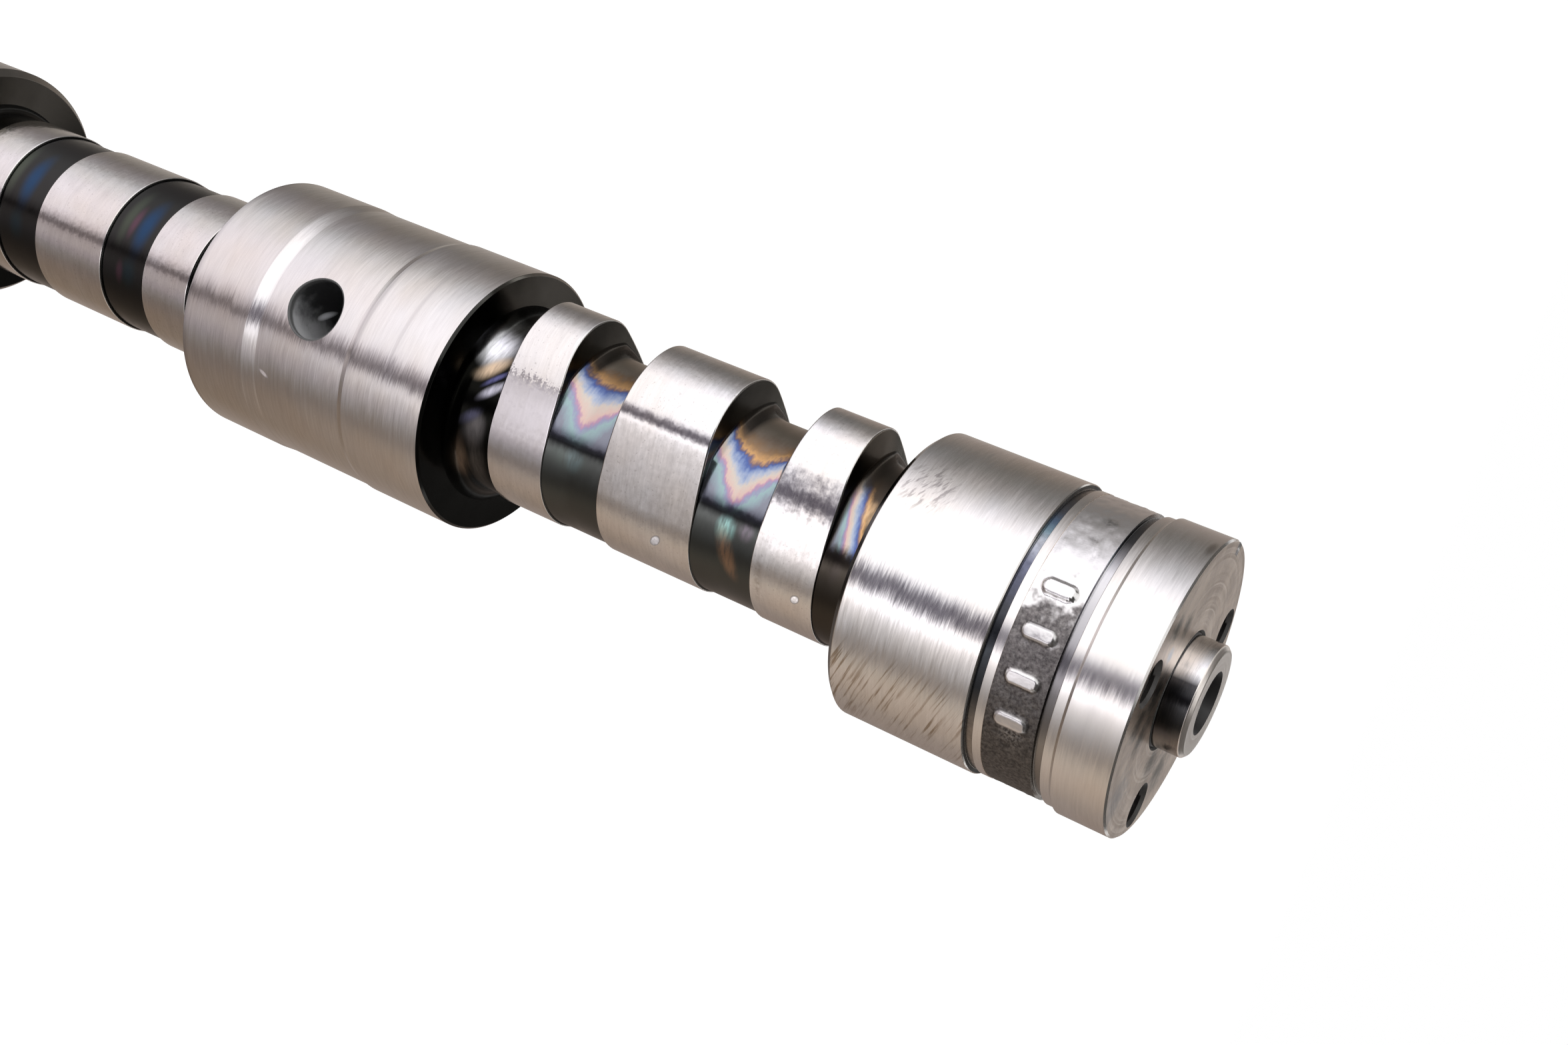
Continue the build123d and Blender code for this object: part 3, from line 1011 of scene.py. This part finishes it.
def rear_core(g):
    """The rear bay is dark, with a blue glow on the side towards the nose."""
    far = (0.042, 0.042, 0.040)
    for z in (68.3, 41.4):
        far = blots(g, far, (
            (14.0, z, 7.0, 2.3, 0.0, 1.0, (0.028, 0.065, 0.135)),
            (-22.0, z - 0.5, 3.5, 2.3, 0.0, 0.6, (0.035, 0.065, 0.08)),
            (18.0, z - 4.0, 7.0, 1.6, 0.0, 0.8, (0.085, 0.10, 0.075)),
        ), 1.0, 0.9)
    return blots(g, far, (
        (14.0, 65.8, 4.0, 1.1, 0.0, 0.8, (0.13, 0.07, 0.095)),
        (-24.0, 65.8, 2.6, 1.1, 0.0, 0.8, (0.13, 0.07, 0.095)),
    ), 1.0, 0.9)


def tinted_core():
    """Cores blued by heat: temper colours in bands that bend between the lobes."""
    g = surface("heat_tinted_core")
    blur = g.mottle(0.45)
    fine = g.round_noise(6.0, 2.4, detail=2.0, shift=3.0)
    blue, rose = temper_lines(g)
    at = g.plus(g.centred(blur, 13.0), g.centred(fine, 7.0), g.angle)
    phase = g.math("DIVIDE", g.minus(at, rose), g.minus(blue, rose))
    color = temper(g, phase)
    # Above the bands plain brown, below them slate
    color = g.mix(g.span(at, 44.0, 56.0, smooth=True), color, (0.38, 0.33, 0.27))
    # Painted shade: the fillet at the foot of each side face is darkened on the upper side
    fillet_shade = g.times(g.span(g.radius, CORE + 0.02, CORE + 0.35), g.span(g.angle, 32.0, 46.0))
    color = g.mix(g.times(fillet_shade, 0.92), color, (0.045, 0.04, 0.035))
    color = g.mix(g.span(g.angle, -9.0, -6.0), slate_below(g, fine), color)
    # Painted reflection: a black line round the core, where it mirrors the dark gap by the camera
    wavy = g.plus(g.angle, 7.5, g.centred(blur, 6.0))
    black = g.span(g.math("ABSOLUTE", wavy), 3.6, 1.4)
    color = g.mix(g.times(black, 0.65), color, (0.02, 0.02, 0.022))
    # By the front journal the core is painted dark, as shade, but for a narrow light streak and a
    # small straw patch
    last = g.math("GREATER_THAN", g.z, 192.0)
    brown = g.math("MAXIMUM", g.span(at, 30.0, 40.0), g.span(at, 0.0, -5.0))
    brown = g.math("MAXIMUM", brown, g.span(phase, 1.25, 1.5))
    brown = g.math("MAXIMUM", brown, g.span(g.z, 197.3, 196.9))
    color = g.mix(g.times(last, brown, 0.9), color, (0.055, 0.045, 0.035))
    straw = g.spot(24.0, 199.7, 2.6, 1.3, 0.8, lean=-10.0)
    color = g.mix(g.times(straw, g.span(fine, 0.3, 0.6, 0.2, 0.9)), color, (0.62, 0.42, 0.24))
    color = g.mix(g.behind, color, (0.095, 0.094, 0.085))
    # The gap by the centre journal has its painted shade and highlights, and the rear bay has
    # colours of its own
    past_gap = g.math("GREATER_THAN", g.z, FIRST_CAM[0] + 0.05)
    color = g.mix(past_gap, painted_core_by_centre(g, fine), color)
    in_front_bay = g.math("GREATER_THAN", g.z, (CENTRE + FRONT_BAY) / 2)
    color = g.mix(in_front_bay, rear_core(g), color)
    # In front of each side face the core leans forward, so that it mirrors no side face
    ahead = g.times(g.span(g.z, 137.2, 138.2), g.span(g.z, 142.4, 142.2, 0.0, 0.35))
    for _, z in (FIRST_CAM, WIDE_CAM, LAST_CAM):
        fading = g.span(g.z, z + 5.0, z + 1.5, 0.0, 0.28)
        ahead = g.plus(ahead, g.times(g.span(g.z, z, z + 0.1), fading))
    normal = g.leaning(g.centred(fine, 0.05), g.plus(g.centred(blur, 0.05), ahead))
    return g.finish(color, g.span(blur, 0.3, 0.7, 0.17, 0.25), normal)


def wall_finish():
    """Side faces that were not ground: black below, and a painted grey-brown sheen above, where
    light falls.
    """
    g = surface("lobe_side")
    stain = g.mottle(0.16, 3.0, 0.5)
    at = g.plus(g.angle, g.centred(stain, 40.0))
    color = g.ramp(g.span(at, 0.0, 120.0), [
        (0.00, (0.040, 0.040, 0.038)),
        (0.30, (0.050, 0.050, 0.046)),
        (0.55, (0.24, 0.225, 0.20)),
        (0.75, (0.38, 0.36, 0.33)),
        (1.00, (0.34, 0.32, 0.29)),
    ])
    color = g.mix(g.behind, color, (0.040, 0.040, 0.038))
    gloss = g.span(stain, 0.3, 0.7, 0.13, 0.19)
    return g.finish(color, gloss, g.leaning(g.centred(stain, 0.03), 0.0))


def side_ramp(g, stops):
    """A colour that follows the angle from the camera's side, by stops in degrees."""
    stops = [((at + 90) / 180, color) for at, color in stops]
    return g.ramp(g.span(g.angle, -90.0, 90.0), stops)


def neck_finish():
    """The grinding neck: nearly black, with a painted highlight band that has a blue tint, and
    painted lighter sheen at the top and bottom.
    """
    g = surface("blued_neck")
    color = side_ramp(g, [
        (-90, (0.34, 0.31, 0.28)),
        (-60, (0.42, 0.37, 0.32)),
        (-42, (0.24, 0.22, 0.20)),
        (-28, (0.05, 0.055, 0.06)),
        (-6, (0.04, 0.045, 0.05)),
        (3, (0.06, 0.062, 0.07)),
        (12, (0.09, 0.095, 0.13)),
        (21, (0.16, 0.17, 0.24)),
        (27, (0.40, 0.42, 0.48)),
        (31, (0.52, 0.54, 0.58)),
        (36, (0.26, 0.38, 0.44)),
        (42, (0.16, 0.24, 0.36)),
        (48, (0.18, 0.19, 0.22)),
        (62, (0.20, 0.18, 0.165)),
        (76, (0.48, 0.41, 0.37)),
        (90, (0.50, 0.44, 0.40)),
    ])
    color = g.mix(g.behind, color, (0.34, 0.31, 0.28))
    grain = g.mottle(1.2)
    color = g.mix(g.span(grain, 0.35, 0.7, 0.0, 0.35), color, (0.05, 0.05, 0.055))
    gloss = g.span(grain, 0.3, 0.7, 0.20, 0.30)
    return g.finish(color, gloss, g.leaning(g.centred(grain, 0.015), 0.0))


def groove_finish():
    """The floor of the groove by the as-cast band: turned, and brighter above than below: a painted
    highlight, with painted shade from the groove's walls at the very top.
    """
    g = surface("groove_floor")
    color = side_ramp(g, [
        (-90, (0.23, 0.21, 0.19)),
        (-60, (0.25, 0.23, 0.21)),
        (-40, (0.33, 0.31, 0.29)),
        (-20, (0.20, 0.19, 0.19)),
        (-6, (0.30, 0.29, 0.30)),
        (12, (0.46, 0.45, 0.46)),
        (30, (0.72, 0.71, 0.72)),
        (40, (0.34, 0.33, 0.34)),
        (48, (0.11, 0.11, 0.115)),
        (90, (0.13, 0.125, 0.12)),
    ])
    color = g.mix(g.behind, color, (0.23, 0.21, 0.19))
    line = g.round_noise(4.0, 4.0, detail=3.0, rough=0.65)
    return g.finish(color, 0.24, g.leaning(g.centred(line, 0.10), 0.0))


def cast_finish():
    """As-cast iron: dark and grainy below; worn bright on what stands proud, and a painted
    highlight above.
    """
    g = surface("as_cast_band")
    grain = g.mottle(2.2, 4.0, 0.65)
    patchy = g.mottle(0.42, 3.0, 0.5)
    proud = g.span(g.radius, BAND_R + 0.12, BAND_R + 0.36)
    edge = g.plus(g.angle, g.centred(patchy, 60.0))
    front = g.minus(1.0, g.behind)
    # Painted highlight over the upper side of the band; the proud pads are worn bright
    upper = g.times(g.span(edge, 3.0, 16.0, smooth=True), front)
    worn_and_painted_highlight = g.math("MAXIMUM", g.times(proud, 0.85), upper)
    dark = g.mix(g.span(grain, 0.35, 0.7), (0.075, 0.07, 0.066), (0.24, 0.225, 0.21))
    # Painted light: a lighter band below the middle on the near side
    lighter = g.mix(g.span(grain, 0.35, 0.7), (0.12, 0.11, 0.11), (0.34, 0.32, 0.31))
    dark = g.mix(g.times(g.span(g.angle, -44.0, -8.0), front), dark, lighter)
    rub = g.times(g.spot(-38.0, 228.6, 4.0, 2.2, 0.9), g.span(grain, 0.45, 0.65))
    dark = g.mix(g.times(rub, 0.7), dark, (0.55, 0.53, 0.51))
    color = g.mix(worn_and_painted_highlight, dark, (0.88, 0.86, 0.85))
    # Two darker patches on the bright upper part
    for angle, z, high, long in ((52.0, 229.0, 1.4, 1.5), (40.0, 228.6, 0.8, 1.0)):
        dark_patch = g.times(g.spot(angle, z, high, long, 0.9), g.span(grain, 0.25, 0.6))
        color = g.mix(g.times(dark_patch, 0.7), color, (0.22, 0.21, 0.20))
    rough = g.span(worn_and_painted_highlight, 0.0, 1.0, 0.50, 0.24)
    height = g.times(grain, g.span(worn_and_painted_highlight, 0.0, 1.0, 1.0, 0.25))
    bump = g.node("ShaderNodeBump", {"Strength": 0.6, "Distance": 0.00010, "Height": height})
    return g.finish(color, rough, bump.outputs[0])


def face_finish():
    """The turned nose face, with stain marks, painted shadow of the pilot, and handling marks."""
    g = surface("turned_face")
    rings = g.noise(g.vector(g.times(g.radius, 5.0), g.times(g.z, 5.0), g.ux), 3.0)
    stain = g.mottle(0.28, 4.0, 0.6)
    fine = g.mottle(0.9)
    color = g.mix(g.span(stain, 0.38, 0.62), (0.98, 0.83, 0.71), (0.74, 0.61, 0.52))
    # Blurred stains, and dark patches beside the pilot that are painted shadow: place on the face,
    # size, strength and tone
    stains_and_painted_shadow = (
        (-6.6, -14.9, 1.6, 0.9, (0.09, 0.075, 0.06)),
        (-7.6, -10.3, 1.3, 0.8, (0.09, 0.075, 0.06)),
        (6.9, -9.6, 1.9, 0.9, (0.07, 0.055, 0.045)),
        (5.9, -14.0, 1.8, 0.9, (0.07, 0.055, 0.045)),
        (9.4, 2.7, 2.4, 0.8, (0.08, 0.065, 0.055)),
        (10.4, 9.2, 2.6, 0.8, (0.08, 0.065, 0.055)),
        (0.9, -11.6, 2.3, 0.9, (0.03, 0.03, 0.03)),
        (15.0, -8.6, 3.2, 0.7, (0.44, 0.42, 0.43)),
        (-3.3, -12.7, 1.0, 0.8, (0.62, 0.66, 0.74)),
    )
    for x, y, size, strength, tone in stains_and_painted_shadow:
        gone = g.plus(g.distance(x, y, FACE), g.centred(fine, size * 1.6))
        blurred = g.times(g.span(gone, size * 1.7, 0.0, smooth=True), strength)
        color = g.mix(blurred, color, tone)
    # The end of the pilot is lighter
    color = g.mix(g.span(g.z, FACE + 2.0, FACE + 3.0), color, (0.99, 0.92, 0.86))
    normal = g.leaning(g.centred(rings, 0.05), g.centred(stain, 0.06))
    return g.finish(color, g.span(rings, 0.3, 0.7, 0.29, 0.41), normal)


def pilot_finish():
    """The turned pilot: streaked, with a painted highlight band, painted black reflection under it
    and painted brown lower down.
    """
    g = surface("pilot_turned")
    line = g.round_noise(3.0, 5.0, detail=3.0, rough=0.7)
    color = side_ramp(g, [
        (-90, (0.50, 0.44, 0.38)),
        (-60, (0.36, 0.32, 0.29)),
        (-44, (0.13, 0.12, 0.115)),
        (-34, (0.05, 0.05, 0.05)),
        (0, (0.03, 0.03, 0.032)),
        (10, (0.05, 0.05, 0.055)),
        (22, (0.90, 0.90, 0.92)),
        (46, (0.95, 0.95, 0.95)),
        (60, (0.50, 0.48, 0.46)),
        (90, (0.50, 0.46, 0.42)),
    ])
    color = g.mix(g.span(line, 0.45, 0.7, 0.0, 0.3), color, (0.12, 0.115, 0.11))
    return g.finish(color, 0.2, g.leaning(g.centred(line, 0.12), 0.0))


def bore_finish(name, color):
    """The inside of a bore: rough and painted dark, as the shade in it, a little darker in patches.
    """
    g = surface(name)
    stain = g.mottle(0.5)
    shade = g.mix(g.span(stain, 0.3, 0.7), color, tuple(c * 0.6 for c in color))
    return g.finish(shade, g.span(stain, 0.3, 0.7, 0.40, 0.53), metallic=0.0)


def oil_hole_finish():
    """The drilled oil hole: painted black in its upper half, as shade, grey below."""
    g = surface("oil_hole_inside")
    stain = g.mottle(0.5)
    edge = g.plus(g.angle, g.centred(stain, 26.0), g.span(g.radius, 8.0, 19.0, 8.0, 0.0))
    color = g.mix(g.span(edge, 14.0, -6.0, smooth=True), (0.012, 0.012, 0.013), (0.20, 0.20, 0.205))
    # A painted highlight: a slanting light streak deep down on the wall, 4 mm long and 1.4 mm wide
    c, s = 0.855, 0.519
    down = g.minus(g.radius, 11.5)
    aside = g.minus(g.times(g.x, -1.0), 1.25)
    length = g.math("DIVIDE", g.plus(g.times(down, -c), g.times(aside, s)), 2.0)
    width = g.math("DIVIDE", g.plus(g.times(down, s), g.times(aside, c)), 0.7)
    gone = g.plus(g.times(length, length), g.times(width, width))
    color = g.mix(g.span(gone, 1.0, 0.0, 0.0, 0.9), color, (0.75, 0.76, 0.80))
    # The mouth is painted dark all round, as shade
    color = g.mix(g.span(g.radius, 18.7, 19.1), color, (0.05, 0.05, 0.05))
    return g.finish(color, 0.6, metallic=0.0)


def lobe_finish():
    """Ground cams: finely mottled, with a few small dents."""
    g, _, base, gloss = ground_finish("ground_lobe", (0.83, 0.815, 0.805), 0.155)
    line = g.round_noise(4.0, 1.8, detail=3.0, rough=0.65)
    mottle = g.mottle(1.3)
    speck = g.mottle(3.0, 2.0, 0.5)
    around = g.plus(g.centred(line, 0.05), g.centred(mottle, 0.11))
    base = g.mix(g.span(speck, 0.64, 0.72, 0.0, 0.45), base, (0.45, 0.42, 0.40))
    uneven = g.span(speck, 0.3, 0.6, 0.9, 1.1)
    for angle, z, high, long in ((-45.0, 171.7, 1.5, 0.8), (-42.0, 194.1, 1.0, 0.7)):
        dent = g.spot(angle, z, high, long, 0.5, lean=35.0)
        around = g.minus(around, g.times(dent, uneven, 0.44))
    # In the front bay the narrow cams round off earlier on their lower flank
    early = g.times(
        g.span(g.angle, 8.0, 20.0, smooth=True),
        g.span(g.angle, 38.0, 26.0, smooth=True),
        g.math("GREATER_THAN", g.z, CENTRE),
    )
    amount = g.span(g.on_cam(WIDE_CAM), 0.0, 1.0, 0.12, 0.03)
    around = g.minus(around, g.times(early, amount))
    # The cam by the centre journal is painted from light to grey, as shade, over a ragged edge. Its
    # surface leans so that nothing bright or dark shows where the cards above and below meet.
    off = g.minus(g.angle, 17.0)
    ragged = g.plus(off, g.plus(g.centred(line, 9.0), g.centred(speck, 17.0)))
    above = g.math("GREATER_THAN", ragged, 0.0)
    over = g.times(g.span(off, 24.0, 0.0, 0.0, -0.085), above)
    under = g.times(g.span(off, -16.0, 0.0, 0.0, 0.12), g.minus(1.0, above))
    across = g.math("ABSOLUTE", g.minus(above, g.math("GREATER_THAN", off, 0.0)))
    across = g.times(off, pi / 180, across)
    here = g.on_cam(FIRST_CAM)
    around = g.plus(around, g.times(g.plus(over, under, across), here))
    soft = g.times(g.span(g.math("ABSOLUTE", off), 14.0, 1.0, smooth=True), here)
    gloss = g.plus(gloss, g.times(soft, 0.09))
    # Painted shade: grey under the ragged edge
    grey = g.times(g.span(ragged, 3.0, -5.0, smooth=True), g.span(off, -70.0, -40.0), here)
    base = g.mix(grey, base, (0.66, 0.635, 0.645))
    # The cam by the front journal shows a broad dark line there
    slow = g.times(off, 0.003, g.span(g.math("ABSOLUTE", off), 12.0, 6.0))
    around = g.plus(around, g.times(slow, g.on_cam(LAST_CAM)))
    # Dirt low on that cam, and darker streaks along the shaft on all of them
    dirt = g.times(g.spot(-40.0, 188.3, 5.5, 0.9, 0.9), g.span(mottle, 0.3, 0.6), 0.55)
    base = g.mix(dirt, base, (0.34, 0.30, 0.26))
    streak = g.noise(g.vector(g.times(g.z, 0.55), g.times(g.angle, 0.035), 5.0), 3.0, 0.6)
    base = g.mix(g.span(streak, 0.45, 0.75, 0.0, 0.35), base, (0.58, 0.55, 0.53))
    return g.finish(base, gloss, g.leaning(around, g.centred(mottle, 0.04)), aniso=0.2)


def finishes():
    """Materials in the order of the finishes named at the top."""
    return [
        journal_finish(),
        lobe_finish(),
        tinted_core(),
        wall_finish(),
        cast_finish(),
        face_finish(),
        pilot_finish(),
        bore_finish("hole_inside", (0.045, 0.042, 0.04)),
        neck_finish(),
        ring_finish(),
        oil_hole_finish(),
        groove_finish(),
        bore_finish("centre_bore", (0.013, 0.012, 0.012)),
    ]


def panel(name, low, high, low_r, high_r, near, far=None, steps=48):
    """A curved card round the shaft that gives the metal something to reflect.

    Its stops are directions in degrees, counted from the camera towards the picture's
    top, each with the light that comes from there. What the shaft's rear mirrors lies
    deeper and follows the far stops. The card shows in reflections alone."""
    start, end = near[0][0], near[-1][0]
    turns = np.radians(np.linspace(start, end, steps + 1))
    verts = [(-low_r * sin(t), -low_r * cos(t), low) for t in turns]
    verts += [(-high_r * sin(t), -high_r * cos(t), high) for t in turns]
    faces = [(k, k + 1, steps + 2 + k, steps + 1 + k) for k in range(steps)]
    mesh = bpy.data.meshes.new(name)
    mesh.from_pydata(verts, [], faces)
    g = Graph(bpy.data.materials.new(name))
    at = g.node("ShaderNodeTexCoord").outputs["Object"]
    x, y, z = g.parts(at)
    turn = g.times(g.math("ARCTAN2", x, y), 180 / pi)
    middle = (start + end) / 2
    way = g.math("WRAP", g.plus(turn, 180.0), middle + 180.0, middle - 180.0)
    way = g.span(way, start, end)

    def light(stops):
        """The light from each direction. A ramp's colours stay below 1."""
        dimmed = [(at, tuple(c / CARD_LEVEL for c in color)) for at, color in stops]
        return g.ramp(way, [((at - start) / (end - start), color) for at, color in dimmed])

    color = light(near)
    if far:
        color = g.mix(g.span(z, FAR_Z, NEAR_Z), light(far), color)
    glow = g.node("ShaderNodeEmission", {0: color, 1: CARD_LEVEL})
    mesh.materials.append(g.end("ShaderNodeOutputMaterial", glow))
    card = put(name, mesh)
    card.visible_camera = card.visible_diffuse = card.visible_shadow = False
    card.visible_transmission = card.visible_volume_scatter = False


def surround():
    """A white surround that lights the shaft less than it shows."""
    world = bpy.data.worlds.new("surround")
    bpy.context.scene.world = world
    g = Graph(world)
    level = g.span(g.shown(), 0.0, 1.0, 0.55, 1.0)
    back = g.node("ShaderNodeBackground", {0: (1, 1, 1, 1), 1: level})
    g.end("ShaderNodeOutputWorld", back)


def pale_floor():
    """A floor that is white to the camera, with the shadow that it catches."""
    half = 3.0
    corners = [(-half, -half, 0), (half, -half, 0), (half, half, 0), (-half, half, 0)]
    mesh = bpy.data.meshes.new("floor")
    mesh.from_pydata(corners, [], [(0, 1, 2, 3)])
    g = Graph(bpy.data.materials.new("pale_floor"))
    diffuse = g.node("ShaderNodeBsdfDiffuse", {0: (0.22, 0.22, 0.22, 1)})
    glow = g.node("ShaderNodeEmission", {0: (1, 1, 1, 1), 1: 0.93})
    both = g.node("ShaderNodeAddShader", {0: diffuse.outputs[0], 1: glow.outputs[0]})
    plain = g.node("ShaderNodeBsdfDiffuse", {0: (0.85, 0.85, 0.85, 1)})
    mixed = {0: g.shown(), 1: plain.outputs[0], 2: both.outputs[0]}
    shader = g.node("ShaderNodeMixShader", mixed)
    mesh.materials.append(g.end("ShaderNodeOutputMaterial", shader))
    floor = put("floor", mesh)
    floor.visible_glossy = False


def soft_key():
    """One large soft lamp at the camera's upper side."""
    lamp = bpy.data.lights.new("soft_key", "AREA")
    lamp.shape = "RECTANGLE"
    lamp.size, lamp.size_y = 0.95, 1.3
    lamp.energy = 16.0
    key = put("soft_key", lamp)
    turn = radians(44)
    aim = Vector((0, 0, 0.12))
    key.location = (-0.62 * sin(turn), -0.62 * cos(turn), aim.z)
    key.rotation_euler = (aim - key.location).to_track_quat("-Z", "Y").to_euler()
    key.visible_glossy = False


def cards():
    """The cards that the metal mirrors."""
    # From the camera down past the underside to the far side
    panel("card_below", -1.6, 0.30, 0.5, 0.5, [
        (-180, (0.40, 0.34, 0.31)),
        (-160, (0.28, 0.23, 0.205)),
        (-143, (0.30, 0.245, 0.215)),
        (-126, (0.33, 0.275, 0.24)),
        (-110, (0.42, 0.345, 0.29)),
        (-94, (0.52, 0.43, 0.365)),
        (-84, (0.53, 0.45, 0.38)),
        (-77, (0.46, 0.40, 0.35)),
        (-69, (0.30, 0.26, 0.235)),
        (-61, (0.31, 0.28, 0.265)),
        (-52, (0.47, 0.45, 0.455)),
        (-44, (0.70, 0.67, 0.685)),
        (-35, (1.05, 1.01, 1.04)),
        (-31, (1.75, 1.70, 1.78)),
        (-25, (2.00, 1.95, 2.05)),
        (-22, (0.60, 0.57, 0.63)),
        (-18, (0.09, 0.08, 0.11)),
        (-9, (0.08, 0.07, 0.10)),
        (-6, (0.50, 0.48, 0.55)),
        (-2, (1.40, 1.37, 1.43)),
        (0, (1.50, 1.48, 1.52)),
    ], [
        (-180, (0.40, 0.34, 0.31)),
        (-120, (0.245, 0.19, 0.147)),
        (-85, (0.22, 0.17, 0.138)),
        (-69, (0.20, 0.163, 0.145)),
        (-61, (0.215, 0.187, 0.172)),
        (-52, (0.275, 0.245, 0.245)),
        (-44, (0.36, 0.315, 0.33)),
        (-35, (0.45, 0.40, 0.40)),
        (-24, (0.42, 0.365, 0.37)),
        (-21, (0.14, 0.115, 0.12)),
        (-15, (0.14, 0.115, 0.12)),
        (-11, (0.48, 0.43, 0.45)),
        (-2, (0.84, 0.76, 0.80)),
        (0, (0.92, 0.85, 0.90)),
    ])
    # From the camera up over the top to the far side
    panel("card_above", -1.6, 0.30, 0.5, 0.5, [
        (0, (1.50, 1.48, 1.52)),
        (50, (1.50, 1.48, 1.52)),
        (58, (1.32, 1.29, 1.36)),
        (65, (1.12, 1.10, 1.17)),
        (73, (0.80, 0.785, 0.83)),
        (81, (0.56, 0.55, 0.57)),
        (90, (0.38, 0.365, 0.37)),
        (98, (0.26, 0.25, 0.25)),
        (106, (0.205, 0.20, 0.195)),
        (114, (0.185, 0.175, 0.17)),
        (122, (0.195, 0.178, 0.165)),
        (131, (0.24, 0.21, 0.19)),
        (147, (0.32, 0.27, 0.24)),
        (163, (0.43, 0.375, 0.34)),
        (180, (0.60, 0.53, 0.49)),
    ], [
        (0, (0.92, 0.85, 0.90)),
        (8, (0.99, 0.92, 0.96)),
        (30, (1.06, 0.99, 1.05)),
        (48, (0.98, 0.93, 0.99)),
        (65, (0.82, 0.80, 0.82)),
        (73, (0.72, 0.70, 0.73)),
        (81, (0.52, 0.51, 0.52)),
        (90, (0.375, 0.355, 0.36)),
        (98, (0.29, 0.27, 0.275)),
        (106, (0.235, 0.215, 0.215)),
        (114, (0.21, 0.19, 0.185)),
        (122, (0.215, 0.195, 0.18)),
        (147, (0.33, 0.30, 0.27)),
        (163, (0.43, 0.385, 0.355)),
        (180, (0.50, 0.44, 0.42)),
    ])
    # Dark room over the far side, which the side faces mirror
    panel("card_far_high", 0.36, 1.4, 0.5, 0.30, [
        (85, (0.11, 0.105, 0.10)),
        (275, (0.10, 0.095, 0.09)),
    ])
    # Dark gap over and beside the camera
    panel("card_near_high", 0.30, 1.4, 0.5, 0.30, [
        (-85, (0.06, 0.055, 0.05)),
        (12, (0.05, 0.05, 0.05)),
    ])


def light_and_stage():
    """Surround, floor, lamp and cards."""
    surround()
    pale_floor()
    soft_key()
    cards()


def camera():
    """The camera that was fitted to the photo."""
    data = bpy.data.cameras.new("camera")
    data.lens, data.sensor_width = LENS, SENSOR
    data.clip_start, data.clip_end = 0.01, 20.0
    obj = put("camera", data)
    sides = Matrix((CAMERA_RIGHT, CAMERA_UP, CAMERA_BACK)).transposed()
    obj.matrix_world = Matrix.Translation(CAMERA_AT) @ sides.to_4x4()
    bpy.context.scene.camera = obj


camera()
build_shaft()
shaft = skin_object("camshaft_body")
for material in finishes():
    shaft.data.materials.append(material)
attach(shaft, "root")
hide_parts("camshaft")
light_and_stage()
bpy.context.scene.view_settings.view_transform = "Standard"
